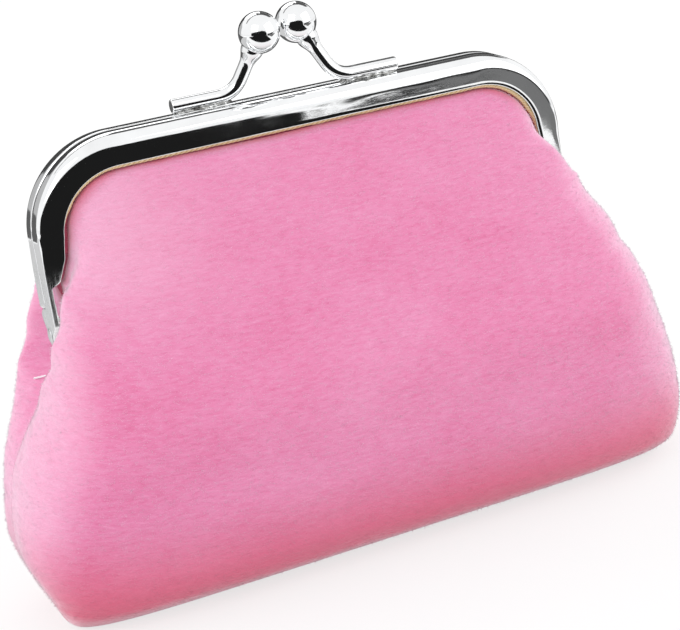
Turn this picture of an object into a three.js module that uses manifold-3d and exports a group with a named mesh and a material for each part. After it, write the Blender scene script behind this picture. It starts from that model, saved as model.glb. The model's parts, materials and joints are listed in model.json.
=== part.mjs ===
// Kiss-lock coin purse: a plush pouch with a satin lining, held in two hinged half frames of pressed
// and chromed steel that snap shut by a pair of balls. Millimetres, +Z up, the front faces -Y.

import * as THREE from 'three';
import { mergeVertices } from 'three/addons/utils/BufferGeometryUtils.js';
import Module from 'manifold-3d';

const wasm = await Module();
wasm.setup();
const { lerp, smoothstep, clamp, degToRad } = THREE.MathUtils;

const FRONT = -1;
const REAR = 1;

// Half frame, seen from the front: a bar, two round corners and two arms that end at the hinges
const FRAME_WIDTH = 85;
const CROWN_HEIGHT = 66.5;
const HINGE_DROP = 28;
const CORNER_RADIUS = 13.6;
const ARM_SPLAY = degToRad(-0.4);

// Half frame, in section: a channel of steel sheet that opens inwards
const SHEET = 0.5;
const HALF_FRAME_DEPTH = 3.6;
const MEETING_GAP = 0.15;
const BAR_LIP = 4.6;
const STRAP_LIP = 0.8;
const BAR_RIM = 2.3;
const ARM_RIM = 0.9;
const STRAP_RIM = 0.3;
const BACK_RIM = 0.3;
const LEAST_BEND = 0.15;

// Hinge strap, in heights above the hinge axis: how deep the flanges are, where the rim is narrow and
// where it is whole, where the strap narrows to its tongue, where the tongue crosses the middle plane and
// is widest, and where the rear strap steps inwards behind the front one
const FLANGE_DEPTHS = [
  { z: 8, lip: STRAP_LIP },
  { z: 8.5, lip: 2.1 },
  { z: 11.7, lip: 3.4 },
  { z: 15, lip: 3.9 },
];
const FLANGE_START = 8.9;
const FLANGE_WHOLE = 13.5;
const STRAP_WIDE = 3.2;
const TONGUE_CROSSES = 3.1;
const TONGUE_WIDEST = 1.8;
const TONGUE_REACH = 2.4;
const TONGUE_RADIUS = 1.6;
const TONGUE_TIP = 0.7;
const JOGGLE = 0.9;
const JOGGLE_WHOLE = 3.2;
const JOGGLE_START = 5;
const ARM_RISES = [-0.8, 0, 0.9, 1.8, 2.5, 3.2, 4.1, 5, 6.5, 8, 8.5, 10, 11.7, 13];
const RIVET_HOLE_RADIUS = 0.9;
const RIVET_RADIUS = 0.7;
const RIVET_HEAD_RADIUS = 1.3;
const RIVET_TAIL_RADIUS = 1.15;
const RIVET_HEAD_HEIGHT = 0.35;
const RIVET_PLAY = 0.2;
const RIVET_DOME = [[0, 1], [0.6, 0.85], [0.92, 0.45], [1, 0]];
const RIVET_TAIL = [[1, 0], [0.8, 0.7], [0, 0.85]];

// Clasp: a round rod brazed along each rim, bent up to a ball that passes over the middle plane
const ROD_RADIUS = 1.05;
const BALL_RADIUS = 3.1;
const BALL_SPACING = 6.9;
const BALL_HEIGHT = 9.7;
const BALL_OVERLAP = 1.3;
const CLASP_OFFSET = -1;
const FOOT_INNER = 7.7;
const FOOT_OUTER = 17.6;
const FOOT_DEPTH = 1.3;
const ROD_BEND = 2.6;
const BRAZE = 0.06;
const SOCKET_RADIUS = 1.25;
const SOCKET_FLOOR = 0.8;
const ROD_END = 1.1;

// Layers in the channel, as distances from the middle plane: paper cord, plush and lining
const CORD_RADIUS = 0.4;
const CORD_DEPTH = 2.6;
const CORD_SHOWS = 0.05;
const CORD_START = 12;
const EDGE_SEAT = 1.2;
const EDGE_OVERLAP = 0.75;
const EDGE_STEP = 0.05;
const LIP_CLEARANCE = 0.85;
const HINGE_CLEARANCE = 2.9;
const STRAP_CLEARANCE = 2.5;
const HINGE_CLEAR_TO = 4;
const STRAP_CLEAR_FROM = 7;

// Pouch: sections from the table up to the frame. front and rear are the depths on either side of the
// seam, and square is the power of the rounded outline.
const POUCH_STATIONS = [
  { z: 0, front: 10, rear: 9, square: 4.2 },
  { z: 4, front: 17.4, rear: 11.8, square: 4.2 },
  { z: 11, front: 21.2, rear: 13.8, square: 3.7 },
  { z: 20, front: 24.2, rear: 14, square: 3.8 },
  { z: 29.5, front: 25.5, rear: 13.6, square: 4.2 },
  { z: 38.5, front: 21.8, rear: 13.2, square: 4.2 },
  { z: 45, front: 16.2, rear: 11.4, square: 3.7 },
  { z: 53, front: 8.9, rear: 7, square: 3.1 },
  { z: 61.3, front: 0.7, rear: 0.5, square: 2.6 },
];

// How far each side of the pouch swells past its seam or its flange
const LOBE_STATIONS = [
  { z: 4, front: 0, rear: 0 },
  { z: 11, front: 0.3, rear: 0.3 },
  { z: 20, front: 1.2, rear: 1.2 },
  { z: 29.5, front: 4.1, rear: 3.4 },
  { z: 34, front: 4.9, rear: 4.5 },
  { z: 38.5, front: 5.9, rear: 5.9 },
  { z: 42, front: 4.3, rear: 4.9 },
  { z: 45, front: 2.9, rear: 3.8 },
  { z: 48, front: 2.3, rear: 2.9 },
  { z: 51, front: 2.1, rear: 2 },
  { z: 54, front: 2.2, rear: 1.2 },
  { z: 61.3, front: 0, rear: 0 },
];
const SEAM_STATIONS = [
  { z: 0, x: 50.1 },
  { z: 4, x: 52.1 },
  { z: 11, x: 54.1 },
  { z: 20, x: 51.4 },
  { z: 29, x: 45.4 },
  { z: 34, x: 42.4 },
  { z: 36.3, x: 40.4 },
  { z: 38.5, x: 39.5 },
];
const POUCH_LEAN = 7.8;
const POUCH_TWIST = 0.02;
const STRAP_ROOM = 2.6;
const STRAP_ROOM_START = 6;
const STRAP_ROOM_WHOLE = 1;
const LOBE_SWELL = 6;
const SEAM_GAP = 0.15;
const BASE_SPREADS = [0, 0.5, 1];
const ROW_HEIGHTS = [1.2, 3, 6, 10, 15, 20, 25, 29, 32, 34.5, 36.5];
const PLUSH = { inset: 0, thickness: 1.6, swell: 1, seat: 1.65, seatHalf: 0.35, columns: 19 };
const LINING = { inset: 2.9, thickness: 0.45, swell: 0.4, seat: 0.955, seatHalf: 0.125, columns: 11 };
const THREAD_RADIUS = 0.3;
const THREAD_START = 6;
const THREAD_BASE_SHARES = [0.9, 0.6];

// Facets
const CORNER_STEPS = 7;
const EDGE_RISES = [12.4, 14];
const EDGE_CORNER_STEPS = 9;
const BAR_STEPS = 3;
const RIM_FACETS = 4;
const BALL_FACETS = 18;
const HOLE_FACETS = 16;
const RIVET_FACETS = 12;
const ROD_SIDES = 10;
const ROD_STEPS = 14;
const CORD_SIDES = 8;
const THREAD_SIDES = 6;
const THREAD_STEPS = 40;

const HALF_WIDTH = FRAME_WIDTH / 2;
const HINGE_Z = CROWN_HEIGHT - HINGE_DROP;
const CORNER_X = HALF_WIDTH - CORNER_RADIUS;
const CORNER_Z = CROWN_HEIGHT - CORNER_RADIUS;
const HINGE_X = HALF_WIDTH + (CORNER_Z - HINGE_Z) * Math.tan(ARM_SPLAY);

const CHROME = new THREE.MeshStandardMaterial({ color: 0xd8dbde, metalness: 1, roughness: 0.12 });
const PLUSH_PINK = new THREE.MeshStandardMaterial({ color: 0xee90ba, metalness: 0, roughness: 0.95 });
const LINING_PINK = new THREE.MeshStandardMaterial({ color: 0xf2c2d5, metalness: 0, roughness: 0.5 });
const PAPER_TAN = new THREE.MeshStandardMaterial({ color: 0xc8aa78, metalness: 0, roughness: 0.9 });
const THREAD_WHITE = new THREE.MeshStandardMaterial({ color: 0xf4eef0, metalness: 0, roughness: 0.8 });

// Closed geometry from triangles, with shared corners merged, empty facets dropped and faces outwards
function closedGeometry(positions, triangles) {
  const loose = new THREE.BufferGeometry();
  loose.setAttribute('position', new THREE.Float32BufferAttribute(positions, 3));
  loose.setIndex(triangles);
  const merged = mergeVertices(loose, 1e-4);
  const index = merged.index.array;
  const kept = [];
  for (let i = 0; i < index.length; i += 3) {
    const [a, b, c] = [index[i], index[i + 1], index[i + 2]];
    if (a !== b && b !== c && c !== a) kept.push(a, b, c);
  }
  const corner = (i) => new THREE.Vector3().fromBufferAttribute(merged.attributes.position, kept[i]);
  let volume = 0;
  for (let i = 0; i < kept.length; i += 3) {
    volume += corner(i).dot(corner(i + 1).cross(corner(i + 2)));
  }
  merged.setIndex(volume < 0 ? kept.reverse() : kept);
  merged.computeVertexNormals();
  return merged;
}

// Solid wall lofted through sections. A section has an outer and an inner chain of as many points.
function wallLoft(sections) {
  const chain = sections[0].outer.length;
  const ring = chain * 2;
  const positions = sections.flatMap(({ outer, inner }) => (
    [...outer, ...inner.toReversed()].flatMap((p) => [p.x, p.y, p.z])
  ));
  const triangles = [];
  const quad = (a, b, c, d) => triangles.push(a, b, c, a, c, d);
  for (let s = 0; s < sections.length - 1; s++) {
    for (let j = 0; j < ring; j++) {
      const next = (j + 1) % ring;
      quad(s * ring + j, s * ring + next, (s + 1) * ring + next, (s + 1) * ring + j);
    }
  }
  const last = (sections.length - 1) * ring;
  for (let j = 0; j < chain - 1; j++) {
    const [a, b, c, d] = [j, j + 1, ring - 2 - j, ring - 1 - j];
    quad(d, c, b, a);
    quad(last + a, last + b, last + c, last + d);
  }
  return closedGeometry(positions, triangles);
}

function toSolid(geometry) {
  const bare = geometry.clone();
  bare.deleteAttribute('normal');
  bare.deleteAttribute('uv');
  const merged = mergeVertices(bare, 1e-4);
  return new wasm.Manifold(new wasm.Mesh({
    numProp: 3,
    vertProperties: new Float32Array(merged.attributes.position.array),
    triVerts: new Uint32Array(merged.index.array),
  }));
}

function fromSolid(solid) {
  const { vertProperties, triVerts } = solid.getMesh();
  const geometry = new THREE.BufferGeometry();
  geometry.setAttribute('position', new THREE.BufferAttribute(vertProperties, 3));
  geometry.setIndex(new THREE.BufferAttribute(triVerts, 1));
  geometry.computeVertexNormals();
  return geometry;
}

// Stops along the crest of a half frame, from the right arm over the bar to the left one. rise is the
// height above the hinge axis and turn goes from 0 on an arm to 1 on the bar.
function crestStops(rises, cornerSteps) {
  const right = rises.map((rise) => {
    const z = HINGE_Z + rise;
    return { x: HALF_WIDTH + (CORNER_Z - z) * Math.tan(ARM_SPLAY), z, inX: -1, inZ: 0, rise, turn: 0 };
  });
  for (let k = 1; k <= cornerSteps; k++) {
    const turn = k / cornerSteps;
    const [c, s] = [Math.cos(turn * Math.PI / 2), Math.sin(turn * Math.PI / 2)];
    const z = CORNER_Z + CORNER_RADIUS * s;
    right.push({ x: CORNER_X + CORNER_RADIUS * c, z, inX: -c, inZ: -s, rise: z - HINGE_Z, turn });
  }
  for (let k = 1; k < BAR_STEPS; k++) {
    const x = CORNER_X * (1 - k / BAR_STEPS);
    right.push({ x, z: CROWN_HEIGHT, inX: 0, inZ: -1, rise: HINGE_DROP, turn: 1 });
  }
  const left = right.map((stop) => ({ ...stop, x: -stop.x, inX: -stop.inX })).reverse();
  return [...right, ...left];
}

// The frame's stops begin at the tip of the tongue. Those of the fabric's edge fall between them.
const TONGUE_END = -Math.sqrt(TONGUE_RADIUS ** 2 - TONGUE_TIP ** 2);
const STOPS = crestStops([TONGUE_END, ...ARM_RISES, CORNER_Z - HINGE_Z], CORNER_STEPS);
const EDGE_STOPS = crestStops(EDGE_RISES, EDGE_CORNER_STEPS);

// Depth of the channel at a stop, from the crest to the edge of its flanges. On the arm it runs in
// straight lines, as the ends of the flanges are cut.
function lipAt({ rise, turn }) {
  const upper = FLANGE_DEPTHS.findIndex(({ z }) => z > rise);
  if (upper === 0) return STRAP_LIP;
  const [a, b] = FLANGE_DEPTHS.slice(upper < 0 ? -2 : upper - 1);
  const arm = lerp(a.lip, b.lip, clamp((rise - a.z) / (b.z - a.z), 0, 1));
  return lerp(arm, BAR_LIP, smoothstep(turn, 0, 1));
}

// Point inwards from the crest by n, at distance y from the middle plane
const atStop = (stop, n, y) => new THREE.Vector3(stop.x + stop.inX * n, y, stop.z + stop.inZ * n);

// Quarter bend of radius r about (n, y), from the web round to a flange that faces side
function bend(n, y, r, side, facets) {
  return Array.from({ length: facets + 1 }, (_, k) => {
    const a = (k / facets) * Math.PI / 2;
    return [n - r * Math.cos(a), y + side * r * Math.sin(a)];
  });
}

// Channel section of a half frame at a stop, as outer and inner chains from the meeting flange to the
// face flange. On the strap the flanges shrink to a small fold and the web narrows to the tongue.
function channelSection(stop, side, joggle) {
  const { rise, turn } = stop;
  const lip = lipAt(stop);
  const rim = lerp(lerp(STRAP_RIM, ARM_RIM, smoothstep(rise, FLANGE_START, FLANGE_WHOLE)), BAR_RIM, turn);
  const tip = Math.max(TONGUE_TIP, Math.sqrt(Math.max(TONGUE_RADIUS ** 2 - Math.min(rise, 0) ** 2, 0)));
  const face = lerp(tip, HALF_FRAME_DEPTH, smoothstep(rise, 0, STRAP_WIDE));
  const reach = side === FRONT ? TONGUE_REACH : TONGUE_RADIUS;
  const crossed = lerp(-reach, MEETING_GAP, smoothstep(rise, TONGUE_WIDEST, TONGUE_CROSSES));
  const meeting = lerp(-tip, crossed, smoothstep(rise, 0, TONGUE_WIDEST));
  const inner = Math.max(rim - SHEET, LEAST_BEND);
  const shift = joggle * (1 - smoothstep(rise, JOGGLE_WHOLE, JOGGLE_START));
  const outerChain = [
    [lip, meeting],
    ...bend(BACK_RIM, meeting + BACK_RIM, BACK_RIM, -1, 2).reverse(),
    ...bend(rim, face - rim, rim, 1, RIM_FACETS),
    [lip, face],
  ];
  const innerChain = [
    [lip, meeting + SHEET],
    ...bend(SHEET + LEAST_BEND, meeting + SHEET + LEAST_BEND, LEAST_BEND, -1, 2).reverse(),
    ...bend(SHEET + inner, face - SHEET - inner, inner, 1, RIM_FACETS),
    [lip, face - SHEET],
  ];
  const place = ([n, y]) => atStop(stop, n + shift, side * y);
  return { outer: outerChain.map(place), inner: innerChain.map(place) };
}

// Half frame: the channel, with the rivet holes through its two tongues
function halfFrame(side, joggle) {
  const channel = wallLoft(STOPS.map((stop) => channelSection(stop, side, joggle)));
  const radius = RIVET_HOLE_RADIUS;
  const drill = new THREE.CylinderGeometry(radius, radius, FRAME_WIDTH * 2, HOLE_FACETS);
  drill.rotateZ(Math.PI / 2).translate(0, 0, HINGE_Z);
  return fromSolid(toSolid(channel).subtract(toSolid(drill)));
}

// Hinge rivet, turned about its own axis: domed head outside, shank, and tail closed over inside. The
// dome and the tail are given as shares of their radius and height.
function hingeRivet(side) {
  const inside = JOGGLE + STRAP_LIP + RIVET_PLAY;
  const head = RIVET_DOME.map(([r, h]) => [r * RIVET_HEAD_RADIUS, -RIVET_PLAY - h * RIVET_HEAD_HEIGHT]);
  const shank = [[RIVET_RADIUS, -RIVET_PLAY], [RIVET_RADIUS, inside]];
  const tail = RIVET_TAIL.map(([r, h]) => [r * RIVET_TAIL_RADIUS, inside + h * RIVET_HEAD_HEIGHT]);
  const profile = [...head, ...shank, ...tail].map(([r, along]) => new THREE.Vector2(r, along));
  const rivet = new THREE.LatheGeometry(profile, RIVET_FACETS);
  rivet.rotateZ(side * Math.PI / 2).translate(side * HINGE_X, 0, HINGE_Z);
  return closedGeometry([...rivet.attributes.position.array], [...rivet.index.array]);
}

// Clasp on one half: the foot lies on the rim towards way, and the ball leans over the middle plane
function claspLine(side, way) {
  const footZ = CROWN_HEIGHT + ROD_RADIUS + BRAZE;
  const place = (out, y, z) => new THREE.Vector3(CLASP_OFFSET + way * out, y, z);
  const heel = place(FOOT_INNER, side * FOOT_DEPTH, footZ);
  const toe = place(FOOT_OUTER, side * FOOT_DEPTH, footZ);
  const ball = place(BALL_SPACING / 2, -side * BALL_OVERLAP, CROWN_HEIGHT + BALL_HEIGHT);
  return { heel, toe, ball, lean: ball.clone().sub(heel).normalize() };
}

function claspLeg(side, way) {
  const { heel, ball, lean, toe } = claspLine(side, way);
  const before = heel.clone().add(new THREE.Vector3(way * ROD_BEND, 0, 0));
  const after = heel.clone().addScaledVector(lean, ROD_BEND);
  const line = new THREE.CurvePath();
  line.add(new THREE.LineCurve3(toe, before));
  line.add(new THREE.QuadraticBezierCurve3(before, heel, after));
  line.add(new THREE.LineCurve3(after, ball.clone().addScaledVector(lean, -ROD_END)));
  return tube(line, ROD_RADIUS, ROD_SIDES, ROD_STEPS);
}

function claspBall(side, way) {
  const { ball, lean } = claspLine(side, way);
  const sphere = new THREE.SphereGeometry(BALL_RADIUS, BALL_FACETS, BALL_FACETS / 2);
  const bore = new THREE.CylinderGeometry(SOCKET_RADIUS, SOCKET_RADIUS, BALL_RADIUS * 2, HOLE_FACETS);
  bore.translate(0, -SOCKET_FLOOR - BALL_RADIUS, 0);
  const turn = new THREE.Quaternion().setFromUnitVectors(new THREE.Vector3(0, 1, 0), lean);
  const drilled = fromSolid(toSolid(sphere).subtract(toSolid(bore)));
  return drilled.applyQuaternion(turn).translate(ball.x, ball.y, ball.z);
}

function tube(line, radius, sides, steps) {
  const disc = new THREE.Shape(Array.from({ length: sides }, (_, k) => {
    const a = (k / sides) * Math.PI * 2;
    return new THREE.Vector2(radius * Math.cos(a), radius * Math.sin(a));
  }));
  const swept = new THREE.ExtrudeGeometry(disc, { steps, extrudePath: line, curveSegments: sides });
  const positions = [...swept.attributes.position.array];
  return closedGeometry(positions, positions.map((_, i) => i).slice(0, positions.length / 3));
}

// Paper cord pressed into the channel in front of the plush, just showing below the flange
function paperCord(side) {
  const angles = Array.from({ length: CORD_SIDES / 2 }, (_, k) => (2 * k + 1) * Math.PI / CORD_SIDES);
  const sections = STOPS.filter(({ rise }) => rise > CORD_START).map((stop) => {
    const n = lipAt(stop) + CORD_SHOWS;
    const arc = (up) => angles.map((a) => atStop(
      stop,
      n + CORD_RADIUS * Math.cos(a),
      side * (CORD_DEPTH + up * CORD_RADIUS * Math.sin(a)),
    ));
    return { outer: arc(1), inner: arc(-1) };
  });
  return wallLoft(sections);
}

// Smooth curve through the stations' values of one key, with each slope taken across its neighbours
function through(stations, key, z) {
  const last = stations.length - 1;
  let i = 0;
  while (i < last - 1 && z > stations[i + 1].z) i++;
  const slope = (k) => {
    const [a, b] = [stations[Math.max(k - 1, 0)], stations[Math.min(k + 1, last)]];
    return (b[key] - a[key]) / (b.z - a.z);
  };
  const span = stations[i + 1].z - stations[i].z;
  const u = clamp((z - stations[i].z) / span, 0, 1);
  return (2 * u ** 3 - 3 * u ** 2 + 1) * stations[i][key] + (u ** 3 - 2 * u ** 2 + u) * span * slope(i)
    + (3 * u ** 2 - 2 * u ** 3) * stations[i + 1][key] + (u ** 3 - u ** 2) * span * slope(i + 1);
}

// The middle surface of the pouch leans forward and twists a little from the hinges down to the base
function leanAt(x, z) {
  const u = clamp((HINGE_Z - z) / HINGE_Z, 0, 1);
  return POUCH_TWIST * x * u * u - POUCH_LEAN * u * u * (2 - u);
}

// Distance inwards from the crest at which the fabric leaves the channel
function fabricLip(stop) {
  const near = smoothstep(stop.rise, HINGE_CLEAR_TO, STRAP_CLEAR_FROM);
  return Math.max(lipAt(stop) + LIP_CLEARANCE, lerp(HINGE_CLEARANCE, STRAP_CLEARANCE, near));
}

// Rows of a pouch wall from the base seam up to the bar, for a face that lies inset from the outer one.
// end is half the row's width, outerZ its height on the outer face, spread opens the base from its seam,
// and held goes from 0 at the side seam to 1 in the channel.
function pouchRows(inset) {
  const endAt = (z) => through(SEAM_STATIONS, 'x', z) - inset;
  const rows = BASE_SPREADS.map((spread) => ({ z: inset, outerZ: 0, end: endAt(0), spread, held: 0 }));
  for (const height of ROW_HEIGHTS) {
    const z = lerp(inset, HINGE_Z, height / HINGE_Z);
    rows.push({ z, outerZ: z, end: endAt(z), spread: 1, held: 0 });
  }
  const arm = STOPS.filter(({ x, rise, turn }, i) => x > 0 && rise > 0 && turn < 1 && (turn > 0 || i % 2));
  for (const stop of arm) {
    const lip = atStop(stop, fabricLip(stop) + inset, 0);
    const outerZ = atStop(stop, fabricLip(stop), 0).z;
    rows.push({ z: lip.z, outerZ, end: lip.x, spread: 1, held: smoothstep(stop.rise, 0, FLANGE_START) });
  }
  return rows;
}

// One face of a pouch wall at a row: half a superellipse that is drawn in at its seam, so that it clears
// the hinge strap and then swells past it. edge is how far its two ends stand off the middle surface.
function pouchChain({ z, outerZ, end, spread }, side, inset, edge, { swell, columns }) {
  const half = side === FRONT ? 'front' : 'rear';
  const full = through(POUCH_STATIONS, half, outerZ);
  const depth = full * full / (full + inset);
  const square = through(POUCH_STATIONS, 'square', outerZ);
  const lobe = through(LOBE_STATIONS, half, outerZ) * swell;
  const room = STRAP_ROOM * smoothstep(z, HINGE_Z - STRAP_ROOM_START, HINGE_Z - STRAP_ROOM_WHOLE);
  return Array.from({ length: columns }, (_, j) => {
    const a = (j / (columns - 1)) * Math.PI;
    const r = (Math.abs(Math.cos(a)) ** square + Math.sin(a) ** square) ** (-1 / square);
    const out = depth * r * Math.max(Math.sin(a), 0);
    const x = r * Math.cos(a) * (end + lobe * smoothstep(out, room, room + LOBE_SWELL));
    return new THREE.Vector3(x, leanAt(x, z) + side * (edge + out * spread), z);
  });
}

// A layer of the pouch on one side: the swelling wall, and the edge that is pressed into the channel
function pouchLayer(side, layer) {
  const { inset, thickness, seat, seatHalf } = layer;
  const face = (depth, stand) => pouchRows(depth).map((row) => (
    pouchChain(row, side, depth, lerp(SEAM_GAP, stand, row.held), layer)
  ));
  const outer = face(inset, seat + seatHalf + EDGE_STEP);
  const inner = face(inset + thickness, seat - seatHalf - EDGE_STEP);
  const wall = wallLoft(outer.map((chain, i) => ({ outer: chain, inner: inner[i] })));
  const edge = wallLoft(EDGE_STOPS.map((stop) => {
    const reach = fabricLip(stop) + inset + EDGE_OVERLAP;
    const strip = (y) => [atStop(stop, EDGE_SEAT, side * y), atStop(stop, reach, side * y)];
    return { outer: strip(seat + seatHalf), inner: strip(seat - seatHalf) };
  }));
  return fromSolid(toSolid(wall).add(toSolid(edge)));
}

// Thread of the seam that joins the front to the rear, down both sides and along the base. It runs
// midway between the plush and the lining.
function seamThread() {
  const lining = pouchRows(LINING.inset);
  const place = (x, z) => new THREE.Vector3(x, leanAt(x, z), z);
  const side = pouchRows(PLUSH.thickness)
    .map(({ z, end, spread }, i) => ({ x: (end + lining[i].end) / 2, z: (z + lining[i].z) / 2, spread }))
    .filter(({ z, spread }) => spread === 1 && z < HINGE_Z - THREAD_START)
    .map(({ x, z }) => place(x, z));
  const base = THREAD_BASE_SHARES.map((share) => place(side[0].x * share, side[0].z));
  const right = [...side.reverse(), ...base];
  const left = right.map(({ x, z }) => place(-x, z)).reverse();
  const line = new THREE.CatmullRomCurve3([...right, ...left], false, 'centripetal');
  return tube(line, THREAD_RADIUS, THREAD_SIDES, THREAD_STEPS);
}

const purse = new THREE.Group();
function addPiece(name, geometry, material) {
  const mesh = new THREE.Mesh(geometry, material);
  mesh.name = name;
  purse.add(mesh);
}

addPiece('front_frame', halfFrame(FRONT, 0), CHROME);
addPiece('rear_frame', halfFrame(REAR, JOGGLE), CHROME);
addPiece('right_hinge_rivet', hingeRivet(1), CHROME);
addPiece('left_hinge_rivet', hingeRivet(-1), CHROME);
for (const [half, side, way] of [['front', FRONT, 1], ['rear', REAR, -1]]) {
  addPiece(`${half}_clasp_leg`, claspLeg(side, way), CHROME);
  addPiece(`${half}_clasp_ball`, claspBall(side, way), CHROME);
  addPiece(`${half}_paper_cord`, paperCord(side), PAPER_TAN);
  addPiece(`${half}_panel`, pouchLayer(side, PLUSH), PLUSH_PINK);
  addPiece(`${half}_lining`, pouchLayer(side, LINING), LINING_PINK);
}
addPiece('seam_thread', seamThread(), THREAD_WHITE);

// The origin is on the table, under the middle of the purse
const box = new THREE.Box3().setFromObject(purse);
purse.position.set(0, -(box.min.y + box.max.y) / 2, -box.min.z);

export default purse;
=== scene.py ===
"""Kiss-lock coin purse: a plush pouch in two hinged half frames of chromed steel with crossing clasp balls.

Lengths are in millimetres. x runs along the frame, y = 0 is the plane where the half frames meet, with the
front at negative y, and z = 0 is the table. add_piece() turns them into metres in the row frame.
"""

import json
import math

import bpy
import numpy as np
from mathutils import Matrix
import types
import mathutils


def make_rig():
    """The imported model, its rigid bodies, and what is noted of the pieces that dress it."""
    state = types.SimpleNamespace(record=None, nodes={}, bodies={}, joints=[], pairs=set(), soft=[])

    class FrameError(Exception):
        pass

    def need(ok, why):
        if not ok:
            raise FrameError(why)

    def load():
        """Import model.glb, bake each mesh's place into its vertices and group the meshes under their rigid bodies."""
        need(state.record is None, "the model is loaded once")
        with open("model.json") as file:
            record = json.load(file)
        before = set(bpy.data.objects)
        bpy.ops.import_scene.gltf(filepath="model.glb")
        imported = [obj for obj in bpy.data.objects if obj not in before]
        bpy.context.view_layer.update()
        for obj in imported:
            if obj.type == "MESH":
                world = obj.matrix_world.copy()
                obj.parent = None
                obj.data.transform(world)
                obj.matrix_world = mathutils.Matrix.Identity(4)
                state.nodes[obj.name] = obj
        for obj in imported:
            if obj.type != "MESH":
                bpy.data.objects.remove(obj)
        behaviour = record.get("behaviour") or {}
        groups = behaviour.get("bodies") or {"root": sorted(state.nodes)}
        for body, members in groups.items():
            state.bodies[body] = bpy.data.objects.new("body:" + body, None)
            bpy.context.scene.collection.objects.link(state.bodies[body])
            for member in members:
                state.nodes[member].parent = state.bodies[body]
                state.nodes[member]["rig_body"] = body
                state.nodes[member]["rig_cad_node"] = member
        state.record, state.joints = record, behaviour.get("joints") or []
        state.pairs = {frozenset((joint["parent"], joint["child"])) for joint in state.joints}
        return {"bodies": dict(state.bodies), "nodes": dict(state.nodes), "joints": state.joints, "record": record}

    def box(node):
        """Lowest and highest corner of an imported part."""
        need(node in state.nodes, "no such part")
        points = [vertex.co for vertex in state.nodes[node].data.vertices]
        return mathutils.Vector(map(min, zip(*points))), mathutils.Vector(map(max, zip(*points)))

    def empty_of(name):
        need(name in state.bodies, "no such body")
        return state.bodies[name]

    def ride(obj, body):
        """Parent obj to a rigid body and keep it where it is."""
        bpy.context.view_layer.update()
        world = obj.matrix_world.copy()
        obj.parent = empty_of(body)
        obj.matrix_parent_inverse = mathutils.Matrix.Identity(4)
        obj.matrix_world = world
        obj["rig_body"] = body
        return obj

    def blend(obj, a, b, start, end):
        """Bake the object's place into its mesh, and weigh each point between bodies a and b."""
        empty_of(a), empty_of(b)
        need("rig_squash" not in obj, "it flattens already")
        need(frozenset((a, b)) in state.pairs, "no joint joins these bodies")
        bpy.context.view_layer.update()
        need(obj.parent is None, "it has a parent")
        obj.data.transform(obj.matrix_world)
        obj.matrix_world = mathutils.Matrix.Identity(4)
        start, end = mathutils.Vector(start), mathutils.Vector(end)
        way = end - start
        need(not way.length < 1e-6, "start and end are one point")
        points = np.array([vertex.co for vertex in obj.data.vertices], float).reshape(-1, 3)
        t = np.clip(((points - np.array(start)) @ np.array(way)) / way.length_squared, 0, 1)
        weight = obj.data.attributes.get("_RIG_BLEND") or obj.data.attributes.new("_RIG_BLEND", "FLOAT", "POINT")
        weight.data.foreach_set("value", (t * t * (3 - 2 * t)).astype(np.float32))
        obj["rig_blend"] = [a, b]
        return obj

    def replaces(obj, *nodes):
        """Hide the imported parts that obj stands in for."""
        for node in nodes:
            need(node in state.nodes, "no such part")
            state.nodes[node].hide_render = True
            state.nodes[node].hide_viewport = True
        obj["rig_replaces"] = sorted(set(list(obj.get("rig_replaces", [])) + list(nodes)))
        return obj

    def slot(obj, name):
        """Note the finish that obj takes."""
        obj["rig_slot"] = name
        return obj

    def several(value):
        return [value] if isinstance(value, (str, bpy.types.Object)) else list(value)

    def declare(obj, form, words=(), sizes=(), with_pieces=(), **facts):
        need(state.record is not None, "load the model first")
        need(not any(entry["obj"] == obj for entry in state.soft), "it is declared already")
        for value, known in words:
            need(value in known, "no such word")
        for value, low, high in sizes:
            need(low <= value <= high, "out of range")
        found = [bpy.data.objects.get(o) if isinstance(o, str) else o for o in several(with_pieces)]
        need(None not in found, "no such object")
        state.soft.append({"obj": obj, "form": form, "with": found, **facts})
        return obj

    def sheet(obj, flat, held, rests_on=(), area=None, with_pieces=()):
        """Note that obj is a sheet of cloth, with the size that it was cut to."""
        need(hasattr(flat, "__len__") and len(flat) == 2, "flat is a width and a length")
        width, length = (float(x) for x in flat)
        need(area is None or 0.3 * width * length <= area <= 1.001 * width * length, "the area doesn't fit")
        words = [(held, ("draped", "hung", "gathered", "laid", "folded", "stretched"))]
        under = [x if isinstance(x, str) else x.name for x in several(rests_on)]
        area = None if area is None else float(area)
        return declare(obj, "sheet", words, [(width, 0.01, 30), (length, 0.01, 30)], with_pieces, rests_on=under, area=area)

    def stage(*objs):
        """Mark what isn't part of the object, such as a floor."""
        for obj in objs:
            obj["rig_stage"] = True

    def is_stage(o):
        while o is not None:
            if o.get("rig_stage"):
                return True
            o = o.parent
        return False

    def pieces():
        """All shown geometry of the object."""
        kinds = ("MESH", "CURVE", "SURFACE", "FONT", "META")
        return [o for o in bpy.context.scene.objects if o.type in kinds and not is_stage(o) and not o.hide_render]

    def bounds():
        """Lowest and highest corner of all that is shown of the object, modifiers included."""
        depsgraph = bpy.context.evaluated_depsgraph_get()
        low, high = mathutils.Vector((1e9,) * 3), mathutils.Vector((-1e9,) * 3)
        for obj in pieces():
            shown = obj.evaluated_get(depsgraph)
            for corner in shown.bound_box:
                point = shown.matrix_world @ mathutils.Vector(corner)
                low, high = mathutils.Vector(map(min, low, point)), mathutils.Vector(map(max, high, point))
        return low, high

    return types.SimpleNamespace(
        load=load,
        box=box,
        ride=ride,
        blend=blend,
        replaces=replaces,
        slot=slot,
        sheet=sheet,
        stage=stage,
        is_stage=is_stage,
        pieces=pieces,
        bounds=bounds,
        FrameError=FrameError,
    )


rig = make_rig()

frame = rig.load()
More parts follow.
